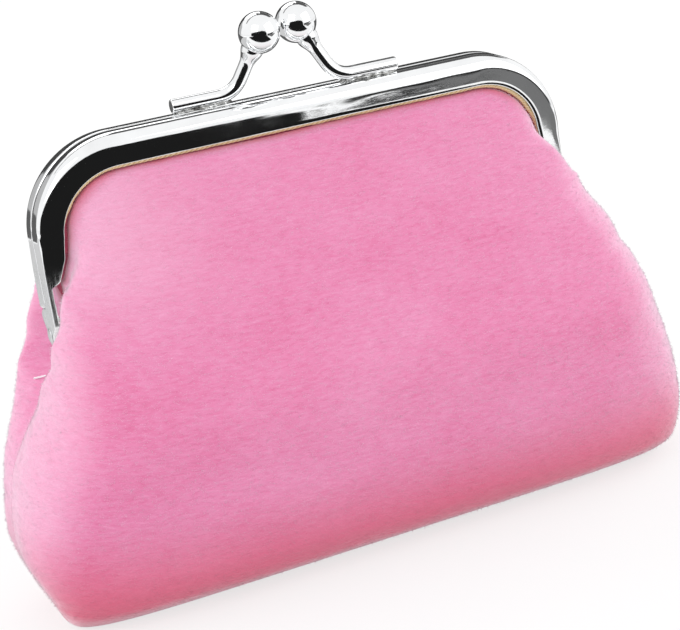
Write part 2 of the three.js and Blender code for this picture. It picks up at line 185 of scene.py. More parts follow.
cad_low, cad_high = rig.bounds()

MM = 0.001
HINGE_AXIS = frame["joints"][0]["pos_m"]
FRAME_PLANE = HINGE_AXIS[1] / MM
HINGE_Z = HINGE_AXIS[2] / MM
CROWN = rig.box("front_frame")[1].z / MM

FRONT = -1
REAR = 1

# Half frame, seen from the front
HALF_WIDTH = 42.5
CORNER_RADIUS = 13.6
ARM_SPLAY = math.tan(math.radians(-0.4))
CORNER_X = HALF_WIDTH - CORNER_RADIUS
CORNER_Z = CROWN - CORNER_RADIUS
ARM_STOPS = 64
CORNER_STOPS = 44
BAR_STOPS = 34

# Half frame, in section
SHEET = 0.5
HALF_DEPTH = 3.6
MEETING_GAP = 0.15
BAR_LIP = 4.6
STRAP_LIP = 0.8
ARM_LIPS = [(8, STRAP_LIP), (8.5, 2.1), (11.7, 3.4), (15, 3.9)]
BAR_RIM = 2.3
ARM_RIM = 0.9
STRAP_RIM = 0.3
BACK_RIM = 0.3
LEAST_BEND = 0.15
LEAST_ROLL = 0.03
SHEET_WAVE = 0.006
SHEET_WAVE_LONG = (11, 9)
SHEET_WAVE_FOLD = 3
SHEET_WAVE_SEED = 5

# Hinge strap, in heights above the hinge axis
FLANGE_START = 8.9
FLANGE_WHOLE = 13.5
STRAP_WIDE = 2.2
TONGUE_SWING = {FRONT: 4.2, REAR: 2.6}
TONGUE_REACH = {FRONT: 3.3, REAR: 1.6}
TONGUE_RADIUS = 1.6
TONGUE_TIP = 0.5
JOGGLE = 0.9
JOGGLE_WHOLE = 4.3
JOGGLE_START = 5.1
RIVET_RADIUS = 0.7
RIVET_HEAD_RADIUS = 1.15
RIVET_TAIL_RADIUS = 1.15
RIVET_HEAD_HEIGHT = 0.22
RIVET_PLAY = 0.06
RIVET_EDGE = 0.05
RIVET_SEAT = 0.04
RIVET_TAIL_SHARE = 0.85
STRAP_BRUSHED = 8.0
STRAP_POLISHED = 12.0

# Clasp
ROD_RADIUS = 1.05
ROD_BEND = 2.6
ROD_CHAMFER = 0.22
ROD_NECK = 0.62
ROD_NECK_LENGTH = 2.4
ROD_NECK_SINK = 0.3
ROD_NECK_CURVE = 1.5
BALL_RADIUS = 3.1
BALL_SPACING = 6.9
BALL_HEIGHT = 9.7
BALL_OVERLAP = 1.3
CLASP_OFFSET = -1.0
FOOT_INNER = 7.7
FOOT_OUTER = 17.6
FOOT_DEPTH = 1.3
BRAZE_GAP = 0.06
BRAZE_HALF_WIDTH = 1.12
BRAZE_HALF_HEIGHT = 0.42
BRAZE_FROM_HEEL = 0.6
BRAZE_FROM_TOE = 0.15
BRAZE_LIFT = 0.1
BRAZE_TAPER = 0.12
BRAZE_LUMPS = 0.13
BRAZE_LUMPS_LONG = (2.4, 7)
BRAZE_LUMPS_ROUND = 3
BRAZE_SEED = 11
BRAZE_STOPS = 60
BRAZE_AROUND = 24

# Layers held in the channel
CORD_RADIUS = 0.4
CORD_DEPTH = 2.6
CORD_SHOWS = 0.15
CORD_TUCKED = -0.4
CORD_FREE_TURN = 0.3
CORD_START = 12.0
CORD_PITCH = 2.4
CORD_STRANDS = 3
CORD_GROOVE = 0.16
CORD_UNEVEN = 0.05
CORD_UNEVEN_LONG = (5, 5)
CORD_SEED = 23
CORD_AROUND = 18
CORD_CORNER_STOPS = 90
CORD_BAR_STOPS = 240
EDGE_SEAT = 1.2
EDGE_OVERLAP = 0.75
EDGE_STEP = 0.05
EDGE_ROUND = 0.4
EDGE_PLACE = 90.0
LIP_CLEARANCE = 0.85
BAR_CLEARANCE = 0.65
STRAP_CLEARANCE = 2.9
STRAP_NEAR = 2.5
STRAP_NEAR_LOW = 4.0
STRAP_NEAR_HIGH = 7.0

# Pouch stations: (height, value)
FRONT_DEPTH = [
    (0, 10), (4, 17.4), (11, 21.2), (20, 24.2), (29.5, 25.5), (38.5, 21.8), (45, 16.2), (53, 8.9), (58, 4.8),
    (60.4, 2.7), (61, 1.5), (61.3, 0.4),
]
REAR_DEPTH = [
    (0, 9), (4, 11.8), (11, 13.8), (20, 14), (29.5, 13.6), (38.5, 13.2), (45, 11.4), (53, 7), (58, 3.9),
    (60.4, 2.3), (61, 1.3), (61.3, 0.4),
]
FRONT_RIGHT_LOBE = [
    (0, 0), (4, 0), (11, 0.3), (20, 0.3), (25, 1.1), (29.5, 3.2), (34, 5.3), (38.5, 6.6), (42, 4.7),
    (45, 2.8), (48, 2.9), (51, 4.2), (54, 3), (61.3, 0),
]
FRONT_LEFT_LOBE = [
    (0, 0), (4, 0), (11, 0.3), (20, 0.2), (25, 0.5), (29.5, 1.4), (34, 3.5), (38.5, 5.4), (42, 3.9),
    (45, 3.4), (48, 2.8), (51, 2.3), (54, 2.2), (61.3, 0),
]
REAR_LOBE = [
    (0, 0), (4, 0), (11, 0.3), (20, 0.2), (25, 0.6), (29.5, 2.1), (34, 4.3), (38.5, 5.9), (42, 4.9),
    (45, 3.8), (48, 2.9), (51, 2), (54, 1.2), (61.3, 0),
]
DEPTHS = {FRONT: FRONT_DEPTH, REAR: REAR_DEPTH}
LOBES = {FRONT: (FRONT_LEFT_LOBE, FRONT_RIGHT_LOBE), REAR: (REAR_LOBE, REAR_LOBE)}
SQUARENESS = [
    (0, 7.2), (4, 5), (11, 3.7), (20, 3.8), (29.5, 4.2), (38.5, 4.2), (45, 3.7), (53, 3.1), (61.3, 2.6),
]
SEAM_X = [
    (0, 50.1), (4, 52.1), (11, 54.1), (20, 52.4), (25, 49.8), (29, 46.8), (34, 42.6), (36.3, 40.4),
    (38.5, 39.5),
]
POUCH_LEAN = 7.8
POUCH_TWIST = 0.02
STRAP_ROOM = 2.6
STRAP_ROOM_START = 6.0
STRAP_ROOM_WHOLE = 1.0
LOBE_SWELL = 6.0
LOBE_CROSS = 0.3
COLUMN_CROWD = 0.08
HELD_START = 0.2
SEAM_GAP = 0.05
SEAM_PULL = 0.7
SEAM_PULL_WIDTH = 1.3
SEAM_PULL_LOW = 18.0
SEAM_PULL_HIGH = 30.0
BASE_LIFT = 0.7
BASE_FLAT = 0.4
PLUSH = {
    "inset": 0.0, "thickness": 1.6, "swell": 1.0, "seat": 1.65, "half": 0.35, "columns": 201,
    "relief": 0.06,
}
LINING = {
    "inset": 2.9, "thickness": 0.45, "swell": 0.4, "seat": 0.955, "half": 0.125, "columns": 121,
    "relief": 0.1,
}
PLUSH_ROWS = {"base": 14, "wall": 96, "arm": 44, "corner": 44}
LINING_ROWS = {"base": 8, "wall": 54, "arm": 26, "corner": 26}

# Relief and pile of the cloth. Each relief is a share, a length along and up the cloth, and a seed
CLOTH_RELIEFS = [(0.6, 24, 15, 41), (0.4, 8, 3.4, 43)]
RELIEF_LOW = 0.8
RELIEF_HIGH = 5.0
RELIEF_FROM_SEAM = 4
NAP_UNIT = 100.0
PILE_COUNT = 48000
PILE_SEED = 71
PILE_START = 2.5
PILE_LENGTH = (0.3, 0.55)
PILE_THICK = (0.038, 0.06)
PILE_ROOT = 0.15
PILE_STAND = 0.62
PILE_LIE = 0.75
PILE_STRAY = 0.45
PILE_LEAST_STAND = 0.3
PILE_FORWARD = 0.65
PILE_DROOP = 0.35
# Share of painted sheen at a fibre's foot; its tip takes the whole
PILE_FOOT_SHEEN = 0.25
# Painted shade, as shares of a redder, darker colour: a painted shadow beside the channel, over these widths on the
# bar and arms, and a painted shade near the table, fading out between these heights
BAR_SHADOW_WIDTH = 1.6
ARM_SHADOW_WIDTH = 4.2
CHANNEL_SHADOW = 0.9
BASE_SHADE = 0.95
BASE_SHADE_LOW = 2.0
BASE_SHADE_HIGH = 19.0
# Painted sheen, as shares of a paler colour: by the x of the cloth's normal, and below the frame's left corner, over
# these x and heights
SIDE_SHEEN = [(-1, 0.4), (-0.5, 0), (0.3, 0), (0.9, 0.55)]
CORNER_SHEEN = 0.32
CORNER_SHEEN_X = (12, 38)
CORNER_SHEEN_Z = (38, 54)

# Seam thread, and how the cloth bends with the half frames
THREAD_RADIUS = 0.3
THREAD_PITCH = 1.6
THREAD_PLIES = 2
THREAD_GROOVE = 0.22
THREAD_AROUND = 12
THREAD_STOPS = 700
THREAD_START = 6.0
STITCH_RADIUS = 0.15
STITCH_PITCH = 1.2
STITCH_STOPS = 30
STITCH_HEIGHT = 32.3
STITCH_RISE = 0.5
STITCH_START = 0.8
STITCH_END = 3.0
STITCH_LIFT = 0.3
BEND_LOW = 30.0
BEND_HIGH = 54.5
LINING_LEAD = 2.5


# Curves and relief

def smooth(x, low, high):
    """Smooth step: 0 up to low, 1 from high, and 3t^2 - 2t^3 between them."""
    t = np.clip((np.asarray(x, float) - low) / (high - low), 0, 1)
    return t * t * (3 - 2 * t)


def mix(a, b, t):
    """Straight mix from a to b by the share t."""
    return a + (b - a) * t


def through(stations, z):
    """Cubic Hermite curve through (height, value) stations, each slope taken across its two neighbours."""
    heights, values = np.array(stations, float).T
    order = np.arange(len(heights))
    ahead = np.minimum(order + 1, len(heights) - 1)
    behind = np.maximum(order - 1, 0)
    slope = (values[ahead] - values[behind]) / (heights[ahead] - heights[behind])
    i = np.clip(np.searchsorted(heights, z) - 1, 0, len(heights) - 2)
    span = heights[i + 1] - heights[i]
    u = np.clip((z - heights[i]) / span, 0, 1)
    rising = (2 * u**3 - 3 * u**2 + 1) * values[i] + (u**3 - 2 * u**2 + u) * span * slope[i]
    arriving = (3 * u**2 - 2 * u**3) * values[i + 1] + (u**3 - u**2) * span * slope[i + 1]
    return rising + arriving


def ripple(u, v, long_u, long_v, seed, waves=32):
    """Random relief of about unit size: a sum of cosine waves over (u, v), with seeded directions, phases and
    lengths spread about long_u along u and long_v along v."""
    rng = np.random.default_rng(seed)
    heading = rng.uniform(0, 2 * math.pi, waves)
    quick = rng.uniform(0.6, 1.7, waves) * 2 * math.pi
    phase = rng.uniform(0, 2 * math.pi, waves)
    along = np.multiply.outer(u, np.cos(heading) * quick / long_u)
    across = np.multiply.outer(v, np.sin(heading) * quick / long_v)
    return np.cos(along + across + phase).sum(-1) * math.sqrt(2 / waves)


def unit(vectors):
    """Vectors scaled to length 1 along the last axis."""
    return vectors / np.maximum(np.linalg.norm(vectors, axis=-1, keepdims=True), 1e-12)


def run_length(points):
    """Length along a chain of points, from 0 at its start."""
    steps = np.linalg.norm(np.diff(points, axis=0), axis=-1)
    return np.concatenate([np.zeros_like(steps[:1]), np.cumsum(steps, axis=0)])


# Closed skins: (points, quads, triangles)

NO_TRIANGLES = np.zeros((0, 3), int)
NO_QUADS = np.zeros((0, 4), int)


def wall(outer, inner):
    """Skin round two faces of (rows, columns) points: each ring is an outer row and the inner one backwards,
    the rings are joined row to row, and the first and last ring are closed by quads from face to face."""
    rows, columns = outer.shape[:2]
    ring = 2 * columns
    points = np.concatenate([outer, inner[:, ::-1]], axis=1).reshape(-1, 3)
    start = np.arange(rows - 1)[:, None] * ring
    here = np.arange(ring)[None]
    after = (here + 1) % ring
    sides = np.stack([start + here, start + after, start + ring + after, start + ring + here], -1)
    j = np.arange(columns - 1)
    cap = np.stack([j, j + 1, ring - 2 - j, ring - 1 - j], -1)
    quads = np.concatenate([sides.reshape(-1, 4), cap[:, ::-1], cap + (rows - 1) * ring])
    return points, quads, NO_TRIANGLES


def tube(rings, start, end):
    """Skin through rings of points, closed at both ends by a fan of triangles to an end point."""
    count, around = rings.shape[:2]
    points = np.concatenate([rings.reshape(-1, 3), [start], [end]])
    first = np.arange(count - 1)[:, None] * around
    here = np.arange(around)[None]
    after = (here + 1) % around
    quads = np.stack([first + here, first + after, first + around + after, first + around + here], -1)
    here, after = here[0], after[0]
    head = np.full(around, count * around)
    tail = head + 1
    last = (count - 1) * around
    start_fan = np.stack([head, after, here], -1)
    end_fan = np.stack([tail, last + here, last + after], -1)
    return points, quads.reshape(-1, 4), np.concatenate([start_fan, end_fan])


def sweep(path, radius, around, reference):
    """Rings round a path. Each is a circle across the tangent, whose radius may change along and round the
    path, with angles counted from the side that is square to the tangent and the reference direction."""
    tangent = unit(np.gradient(path, axis=0))
    across = unit(np.cross(tangent, reference))
    up = np.cross(across, tangent)
    angle = np.linspace(0, 2 * math.pi, around, endpoint=False)[None, :, None]
    radius = np.asarray(radius, float)
    size = radius if radius.ndim == 2 else radius.reshape(-1, 1)
    return path[:, None] + size[:, :, None] * (np.cos(angle) * across[:, None] + np.sin(angle) * up[:, None])


def turned(centre, axis, along, radius, around):
    """Solid turned about an axis through centre: a ring of each radius at each distance along the axis. The
    first and last radius are the end points' and are zero."""
    axis = unit(np.array(axis, float))
    side = unit(np.cross(axis, (0.31, 0.83, 0.46)))
    up = np.cross(axis, side)
    angle = np.linspace(0, 2 * math.pi, around, endpoint=False)[None, :, None]
    middle = np.array(centre, float) + np.asarray(along)[:, None] * axis
    spokes = np.cos(angle) * side + np.sin(angle) * up
    rings = middle[1:-1, None] + np.asarray(radius)[1:-1, None, None] * spokes
    return tube(rings, middle[0], middle[-1])


def outward(skin):
    """The skin with its faces turned outwards, by the sign of the volume inside it."""
    points, quads, triangles = skin
    halves = np.concatenate([quads[:, [0, 1, 2]], quads[:, [0, 2, 3]], triangles])
    a, b, c = (points[halves[:, k]] for k in range(3))
    if np.einsum("ij,ij->", a, np.cross(b, c)) >= 0:
        return skin
    return points, quads[:, ::-1], triangles[:, ::-1]


def add_piece(name, skins, finish, slot, nap=None, fields=None, sharp=40, normals=None):
    """Object of closed skins, smooth but for edges sharper than the given degrees. nap gives each point its
    place on the cloth, in millimetres, fields give it a value by name, and normals a shading normal. Cloth
    isn't mirrored in the chrome."""
    skins = [outward(skin) for skin in skins]
    starts = np.cumsum([0] + [len(skin[0]) for skin in skins])
    points = np.concatenate([skin[0] for skin in skins]) + (0, FRAME_PLANE, 0)
    quads = np.concatenate([skin[1] + start for skin, start in zip(skins, starts)])
    triangles = np.concatenate([skin[2] + start for skin, start in zip(skins, starts)])
    corners = np.concatenate([quads.ravel(), triangles.ravel()])
    sizes = np.repeat([4, 3], [len(quads), len(triangles)])
    mesh = bpy.data.meshes.new(name)
    mesh.vertices.add(len(points))
    mesh.vertices.foreach_set("co", (points * MM).astype(np.float32).ravel())
    mesh.loops.add(len(corners))
    mesh.loops.foreach_set("vertex_index", corners.astype(np.int32))
    mesh.polygons.add(len(sizes))
    mesh.polygons.foreach_set("loop_start", (np.cumsum(sizes) - sizes).astype(np.int32))
    mesh.update(calc_edges=True)
    mesh.validate()
    mesh.polygons.foreach_set("use_smooth", np.ones(len(sizes), bool))
    mesh.set_sharp_from_angle(angle=math.radians(sharp))
    if nap is not None:
        layer = mesh.uv_layers.new(name="nap")
        layer.data.foreach_set("uv", (nap[corners] / NAP_UNIT).astype(np.float32).ravel())
    for key, values in (fields or {}).items():
        mesh.attributes.new(key, "FLOAT", "POINT").data.foreach_set("value", values.astype(np.float32))
    if normals is not None:
        mesh.normals_split_custom_set_from_vertices(normals.tolist())
    mesh.materials.append(finish)
    piece = bpy.data.objects.new(name, mesh)
    bpy.context.scene.collection.objects.link(piece)
    piece.visible_glossy = nap is None
    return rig.slot(piece, slot)


# Finishes

def colour(red, green, blue):
    """Linear colour from the 0 to 255 values of a screen."""
    share = np.array([red, green, blue]) / 255
    linear = np.where(share <= 0.04045, share / 12.92, ((share + 0.055) / 1.055) ** 2.4)
    return (*linear.tolist(), 1.0)


def new_finish(name):
    """Material with an empty node tree: (material, tree)."""
    finish = bpy.data.materials.new(name)
    finish.use_nodes = True
    finish.node_tree.nodes.clear()
    return finish, finish.node_tree


def add(tree, kind, inputs=None, **settings):
    """Adds a node. An input that is a socket is linked, and any other value is set."""
    made = tree.nodes.new(kind)
    for key, value in settings.items():
        setattr(made, key, value)
    for key, value in (inputs or {}).items():
        if isinstance(value, bpy.types.NodeSocket):
            tree.links.new(value, made.inputs[key])
        else:
            made.inputs[key].default_value = value
    return made


def show(tree, surface, kind="ShaderNodeOutputMaterial"):
    """Links a shader's socket to a new output."""
    tree.links.new(surface, add(tree, kind).inputs["Surface"])


def calc(tree, operation, a, b):
    """Result of arithmetic on two numbers or sockets."""
    return add(tree, "ShaderNodeMath", {0: a, 1: b}, operation=operation).outputs[0]


def weighed(tree, a, share_a, b, share_b):
    """Sum of two values, each times its share."""
    return calc(tree, "ADD", calc(tree, "MULTIPLY", a, share_a), calc(tree, "MULTIPLY", b, share_b))


def rest_of(tree, share):
    """1 less a share."""
    return calc(tree, "SUBTRACT", 1.0, share)


def field(tree, name):
    """Value of a mesh's own attribute."""
    return add(tree, "ShaderNodeAttribute", attribute_name=name).outputs["Fac"]


def blend_colours(tree, share, a, b):
    """Colour between a and b by a share."""
    return add(tree, "ShaderNodeMix", {0: share, 6: a, 7: b}, data_type="RGBA").outputs[2]


def ramp(tree, share, stops):
    """Colour ramp through (place, colour) stops."""
    made = add(tree, "ShaderNodeValToRGB", {"Fac": share})
    elements = made.color_ramp.elements
    while len(elements) < len(stops):
        elements.new(0.5)
    for element, (place, tone) in zip(elements, stops):
        element.position = place
        element.color = tone
    return made.outputs["Color"]


def stretch(tree, source, scale):
    """Coordinates multiplied by a scale along each axis."""
    return add(tree, "ShaderNodeMapping", {"Vector": source, "Scale": scale}).outputs["Vector"]


def grain(tree, vector, detail=2.0, roughness=0.5, distortion=0.0):
    """Noise of unit scale on the given coordinates."""
    return add(tree, "ShaderNodeTexNoise", {
        "Vector": vector, "Scale": 1.0, "Detail": detail, "Roughness": roughness, "Distortion": distortion,
    }).outputs["Fac"]


def spread(tree, value, low, high, to_low, to_high):
    """Value carried from one range to another and held at its ends."""
    inputs = {"Value": value, "From Min": low, "From Max": high, "To Min": to_low, "To Max": to_high}
    return add(tree, "ShaderNodeMapRange", inputs, clamp=True).outputs["Result"]


def on_cloth(tree):
    """Place on the cloth, in millimetres."""
    return stretch(tree, add(tree, "ShaderNodeUVMap", uv_map="nap").outputs["UV"], (NAP_UNIT, NAP_UNIT, 1))


def principled(tree, inputs, relief, strength, distance):
    """Shows one Principled shader with the given inputs and a bump from a relief."""
    bump = add(tree, "ShaderNodeBump", {"Height": relief, "Strength": strength, "Distance": distance})
    shader = add(tree, "ShaderNodeBsdfPrincipled", {**inputs, "Normal": bump.outputs["Normal"]})
    show(tree, shader.outputs["BSDF"])


def chrome_finish():
    """Bright plating: hairline scratches and a thin haze in the roughness, and a brushed hinge strap, whose
    streaks run up it, by the height on the object."""
    finish, tree = new_finish("chrome_plating")
    place = add(tree, "ShaderNodeTexCoord").outputs["Object"]
    height = add(tree, "ShaderNodeSeparateXYZ", {"Vector": place}).outputs["Z"]
    brushed = spread(tree, height, (HINGE_Z + STRAP_BRUSHED) * MM, (HINGE_Z + STRAP_POLISHED) * MM, 1.0, 0.0)
    haze = grain(tree, stretch(tree, place, (160, 160, 160)), 4.0, 0.6)
    hairs = grain(tree, stretch(tree, place, (420, 5200, 5200)), 3.0, 0.7)
    streaks = grain(tree, stretch(tree, place, (5200, 5200, 260)), 3.0, 0.7)
    hazy = spread(tree, haze, 0.42, 0.72, 0.035, 0.11)
    polished = calc(tree, "ADD", hazy, spread(tree, hairs, 0.6, 0.8, 0, 0.06))
    satin = spread(tree, streaks, 0.35, 0.7, 0.2, 0.42)
    roughness = weighed(tree, polished, rest_of(tree, brushed), satin, brushed)
    dulled = spread(tree, haze, 0.35, 0.75, 0, 1)
    tone = blend_colours(tree, dulled, colour(250, 251, 252), colour(238, 239, 240))
    relief = weighed(tree, hairs, 0.25, streaks, brushed)
    inputs = {"Base Color": tone, "Metallic": 1.0, "Roughness": roughness}
    principled(tree, inputs, relief, 0.12, 0.00005)
    return finish


def braze_finish():
    """Dull, lumpy brazing metal with darker flux in its hollows."""
    finish, tree = new_finish("braze_metal")
    place = add(tree, "ShaderNodeTexCoord").outputs["Object"]
    lumps = grain(tree, stretch(tree, place, (800, 1100, 1100)), 4.0, 0.6)
    tone = ramp(tree, lumps, [
        (0.34, colour(58, 57, 55)), (0.5, colour(150, 150, 148)), (0.68, colour(226, 227, 227)),
    ])
    inputs = {"Base Color": tone, "Metallic": 1.0, "Roughness": spread(tree, lumps, 0.3, 0.7, 0.45, 0.2)}
    principled(tree, inputs, lumps, 0.6, 0.0003)
    return finish


def plush_finish(name, pile=False):
    """Short-pile plush on the cloth's own coordinates: long streaks where the pile lies together, fine tufts, broad
    and small mottle, a few pale lint specks, and a pale sheen. A redder, darker colour is painted shade: a painted
    shadow beside the channel and a painted shade near the table. A paler colour is painted sheen where the cloth turns
    to the sides and below the frame's left corner. Loose pile takes each fibre's own tint, and a painted sheen that
    grows to its tips."""
    finish, tree = new_finish(name)
    cloth = on_cloth(tree)
    streaks = grain(tree, stretch(tree, cloth, (0.55, 1.9, 1)), 3.0, 0.6, 0.35)
    tufts = grain(tree, stretch(tree, cloth, (1.8, 4.6, 1)), 3.0, 0.65, 0.2)
    broad = grain(tree, stretch(tree, cloth, (0.03, 0.036, 1)), 1.0, 0.5)
    mottle = grain(tree, stretch(tree, cloth, (0.11, 0.14, 1)), 2.0, 0.5)
    relief = weighed(tree, streaks, 0.65, tufts, 0.35)
    broad_patches = spread(tree, broad, 0.3, 0.7, -0.1, 0.1)
    patches = calc(tree, "ADD", broad_patches, spread(tree, mottle, 0.25, 0.75, -0.08, 0.08))
    shade = calc(tree, "ADD", relief, patches)
    if pile:
        shade = calc(tree, "ADD", shade, spread(tree, field(tree, "fibre_tint"), 0, 1, -0.04, 0.1))
    tone = ramp(tree, shade, [
        (0.25, colour(221, 112, 158)), (0.44, colour(227, 129, 173)),
        (0.57, colour(229, 138, 180)), (0.8, colour(235, 154, 193)),
    ])
    dots = add(tree, "ShaderNodeTexVoronoi", {"Vector": stretch(tree, cloth, (0.05, 0.09, 1)), "Scale": 1.0})
    lint = calc(tree, "MULTIPLY", spread(tree, dots.outputs["Distance"], 0.008, 0.022, 1, 0), 0.5)
    tone = blend_colours(tree, lint, tone, colour(250, 226, 238))
    # Painted shade: a redder, darker colour as a painted shadow beside the channel and a painted shade near the table.
    painted_shade = field(tree, "painted_shade")
    tone = blend_colours(tree, painted_shade, tone, colour(212, 90, 116))
    unshaded = rest_of(tree, painted_shade)
    # Painted sheen: paler where the cloth turns to the sides and below the frame's left corner.
    sheen_share = calc(tree, "MULTIPLY", field(tree, "painted_sheen"), unshaded)
    tone = blend_colours(tree, sheen_share, tone, colour(253, 214, 236))
    if pile:
        # Painted sheen: paler towards each fibre's tip.
        pale = calc(tree, "MULTIPLY", field(tree, "tip_sheen"), unshaded)
        tone = blend_colours(tree, pale, tone, colour(251, 208, 230))
    principled(tree, {
        "Base Color": tone, "Roughness": spread(tree, relief, 0.3, 0.7, 0.74, 0.6), "Specular IOR Level": 0.5,
        "Sheen Weight": 1.0, "Sheen Roughness": 0.42, "Sheen Tint": (1.0, 0.88, 0.95, 1.0),
    }, relief, 0.3, 0.0006)
    return finish


def satin_finish():
    """Lining satin: close twill floats across the cloth, uneven yarns and a soft gloss."""
    finish, tree = new_finish("lining_satin")
    cloth = on_cloth(tree)
    twill = add(tree, "ShaderNodeTexWave", {
        "Vector": stretch(tree, cloth, (2.2, 1.1, 1)), "Scale": 0.6, "Distortion": 0.4, "Detail": 1.0,
    }, wave_type="BANDS", bands_direction="DIAGONAL").outputs["Fac"]
    yarns = grain(tree, stretch(tree, cloth, (0.3, 5.0, 1)), 3.0, 0.6)
    relief = weighed(tree, twill, 0.5, yarns, 0.5)
    tone = ramp(tree, relief, [
        (0.25, colour(226, 170, 193)), (0.5, colour(240, 192, 211)), (0.8, colour(248, 212, 225)),
    ])
    principled(tree, {
        "Base Color": tone, "Roughness": spread(tree, yarns, 0.3, 0.7, 0.5, 0.36), "Sheen Weight": 0.25,
        "Sheen Roughness": 0.3,
    }, relief, 0.25, 0.00015)
    return finish


def twisted_finish(name, deep, middle, high, grain_scale, roughness):
    """Twisted paper or thread: painted shade in the grooves of its twist, with a fibrous grain along it."""
    finish, tree = new_finish(name)
    place = add(tree, "ShaderNodeTexCoord").outputs["Object"]
    fibres = grain(tree, stretch(tree, place, (grain_scale, grain_scale, grain_scale)), 4.0, 0.65)
    # Painted shade: darker in the grooves of the twist.
    share = weighed(tree, field(tree, "twist"), 0.6, fibres, 0.5)
    tone = ramp(tree, share, [(0.2, colour(*deep)), (0.55, colour(*middle)), (0.9, colour(*high))])
    principled(tree, {
        "Base Color": tone, "Roughness": spread(tree, fibres, 0.3, 0.7, roughness, roughness - 0.12),
        "Specular IOR Level": 0.3,
    }, share, 0.4, 0.0002)
    return finish


CHROME = chrome_finish()
BRAZE = braze_finish()
NAP = plush_finish("pink_plush")
PILE = plush_finish("pink_pile", pile=True)
SATIN = satin_finish()
PAPER = twisted_finish("kraft_paper", (190, 156, 106), (226, 202, 152), (243, 227, 188), 2600, 0.92)
THREAD = twisted_finish("sewing_thread", (206, 190, 198), (244, 236, 240), (253, 250, 252), 4200, 0.85)


# Frame

def crest(arm, corner, bar):
    """Stops along the crest of a half frame from the right hinge tip over the bar to the left one: straight
    arms with a splay, quarter circles and a straight bar. Columns are x, z, the inward direction's x and z,
    the height above the hinge axis, and turn, which goes from 0 on an arm to 1 on the bar."""
    low = -math.sqrt(TONGUE_RADIUS**2 - TONGUE_TIP**2)
    rise = mix(low, CORNER_Z - HINGE_Z, np.arange(arm) / arm)
    still = np.zeros_like(rise)
    x = HALF_WIDTH + (CORNER_Z - HINGE_Z - rise) * ARM_SPLAY
    on_arm = [x, HINGE_Z + rise, still - 1, still, rise, still]
    turn = np.arange(corner) / corner
    c, s = np.cos(turn * math.pi / 2), np.sin(turn * math.pi / 2)
    z = CORNER_Z + CORNER_RADIUS * s
    on_corner = [CORNER_X + CORNER_RADIUS * c, z, -c, -s, z - HINGE_Z, turn]
    x = CORNER_X * (1 - np.arange(bar) / bar)
    flat = np.zeros_like(x)
    on_bar = [x, flat + CROWN, flat, flat - 1, flat + CROWN - HINGE_Z, flat + 1]
    right = np.concatenate([np.array(part) for part in (on_arm, on_corner, on_bar)], axis=1).T
    middle = np.array([[0, CROWN, 0, -1, CROWN - HINGE_Z, 1]])
    left = right[::-1] * (-1, 1, -1, 1, 1, 1)
    return np.concatenate([right, middle, left])


def at_stops(stops, n, y):
    """Points inwards from the crest by n, at distance y from the middle plane, with a row of n and y for each
    stop."""
    n = np.asarray(n, float)
    x = stops[:, 0, None] + stops[:, 2, None] * n
    z = stops[:, 1, None] + stops[:, 3, None] * n
    return np.stack(np.broadcast_arrays(x, y, z), -1)


def lip_at(rise, turn):
    """Depth of the channel: a low fold on the strap, the arm's flange above it with its end cut on a slope,
    and the bar's past the corner."""
    arm = np.interp(rise, *np.transpose(ARM_LIPS))
    return mix(arm, BAR_LIP, smooth(turn, 0, 1))


def channel_face(lip, meeting, face, back, rim, depth, roll, into):
    """One face of the channel's sheet at each stop, as (n, y): a rolled edge, the meeting flange, the back
    bend, the web, the rim bend, the face flange and its rolled edge. The bends are quarter circles, and the
    rolled edges are half ellipses that the two faces share."""
    half = SHEET / 2
    curl = np.radians([60, 30, 0])
    edge_n = lip - roll + roll * np.sin(curl)
    edge_y = into * half * (1 - np.cos(curl))
    shares = np.array([0.25, 0.5, 0.75])
    quarter = np.linspace(0, math.pi / 2, 15)
    tight = np.linspace(math.pi / 2, 0, 6)
    ones = np.ones_like(lip)
    n = [
        edge_n, mix(lip - roll, back + depth, shares), back + depth - back * np.cos(tight) * ones,
        depth * ones * np.ones(3), rim + depth - rim * np.cos(quarter), mix(rim + depth, lip - roll, shares),
        edge_n[:, ::-1],
    ]
    y = [
        meeting + edge_y, meeting * np.ones(3), meeting + back - back * np.sin(tight),
        mix(meeting + back, face - rim, shares), face - rim + rim * np.sin(quarter), face * np.ones(3),
        face - edge_y[::-1],
    ]
    return np.concatenate(n, axis=1), np.concatenate(y, axis=1)


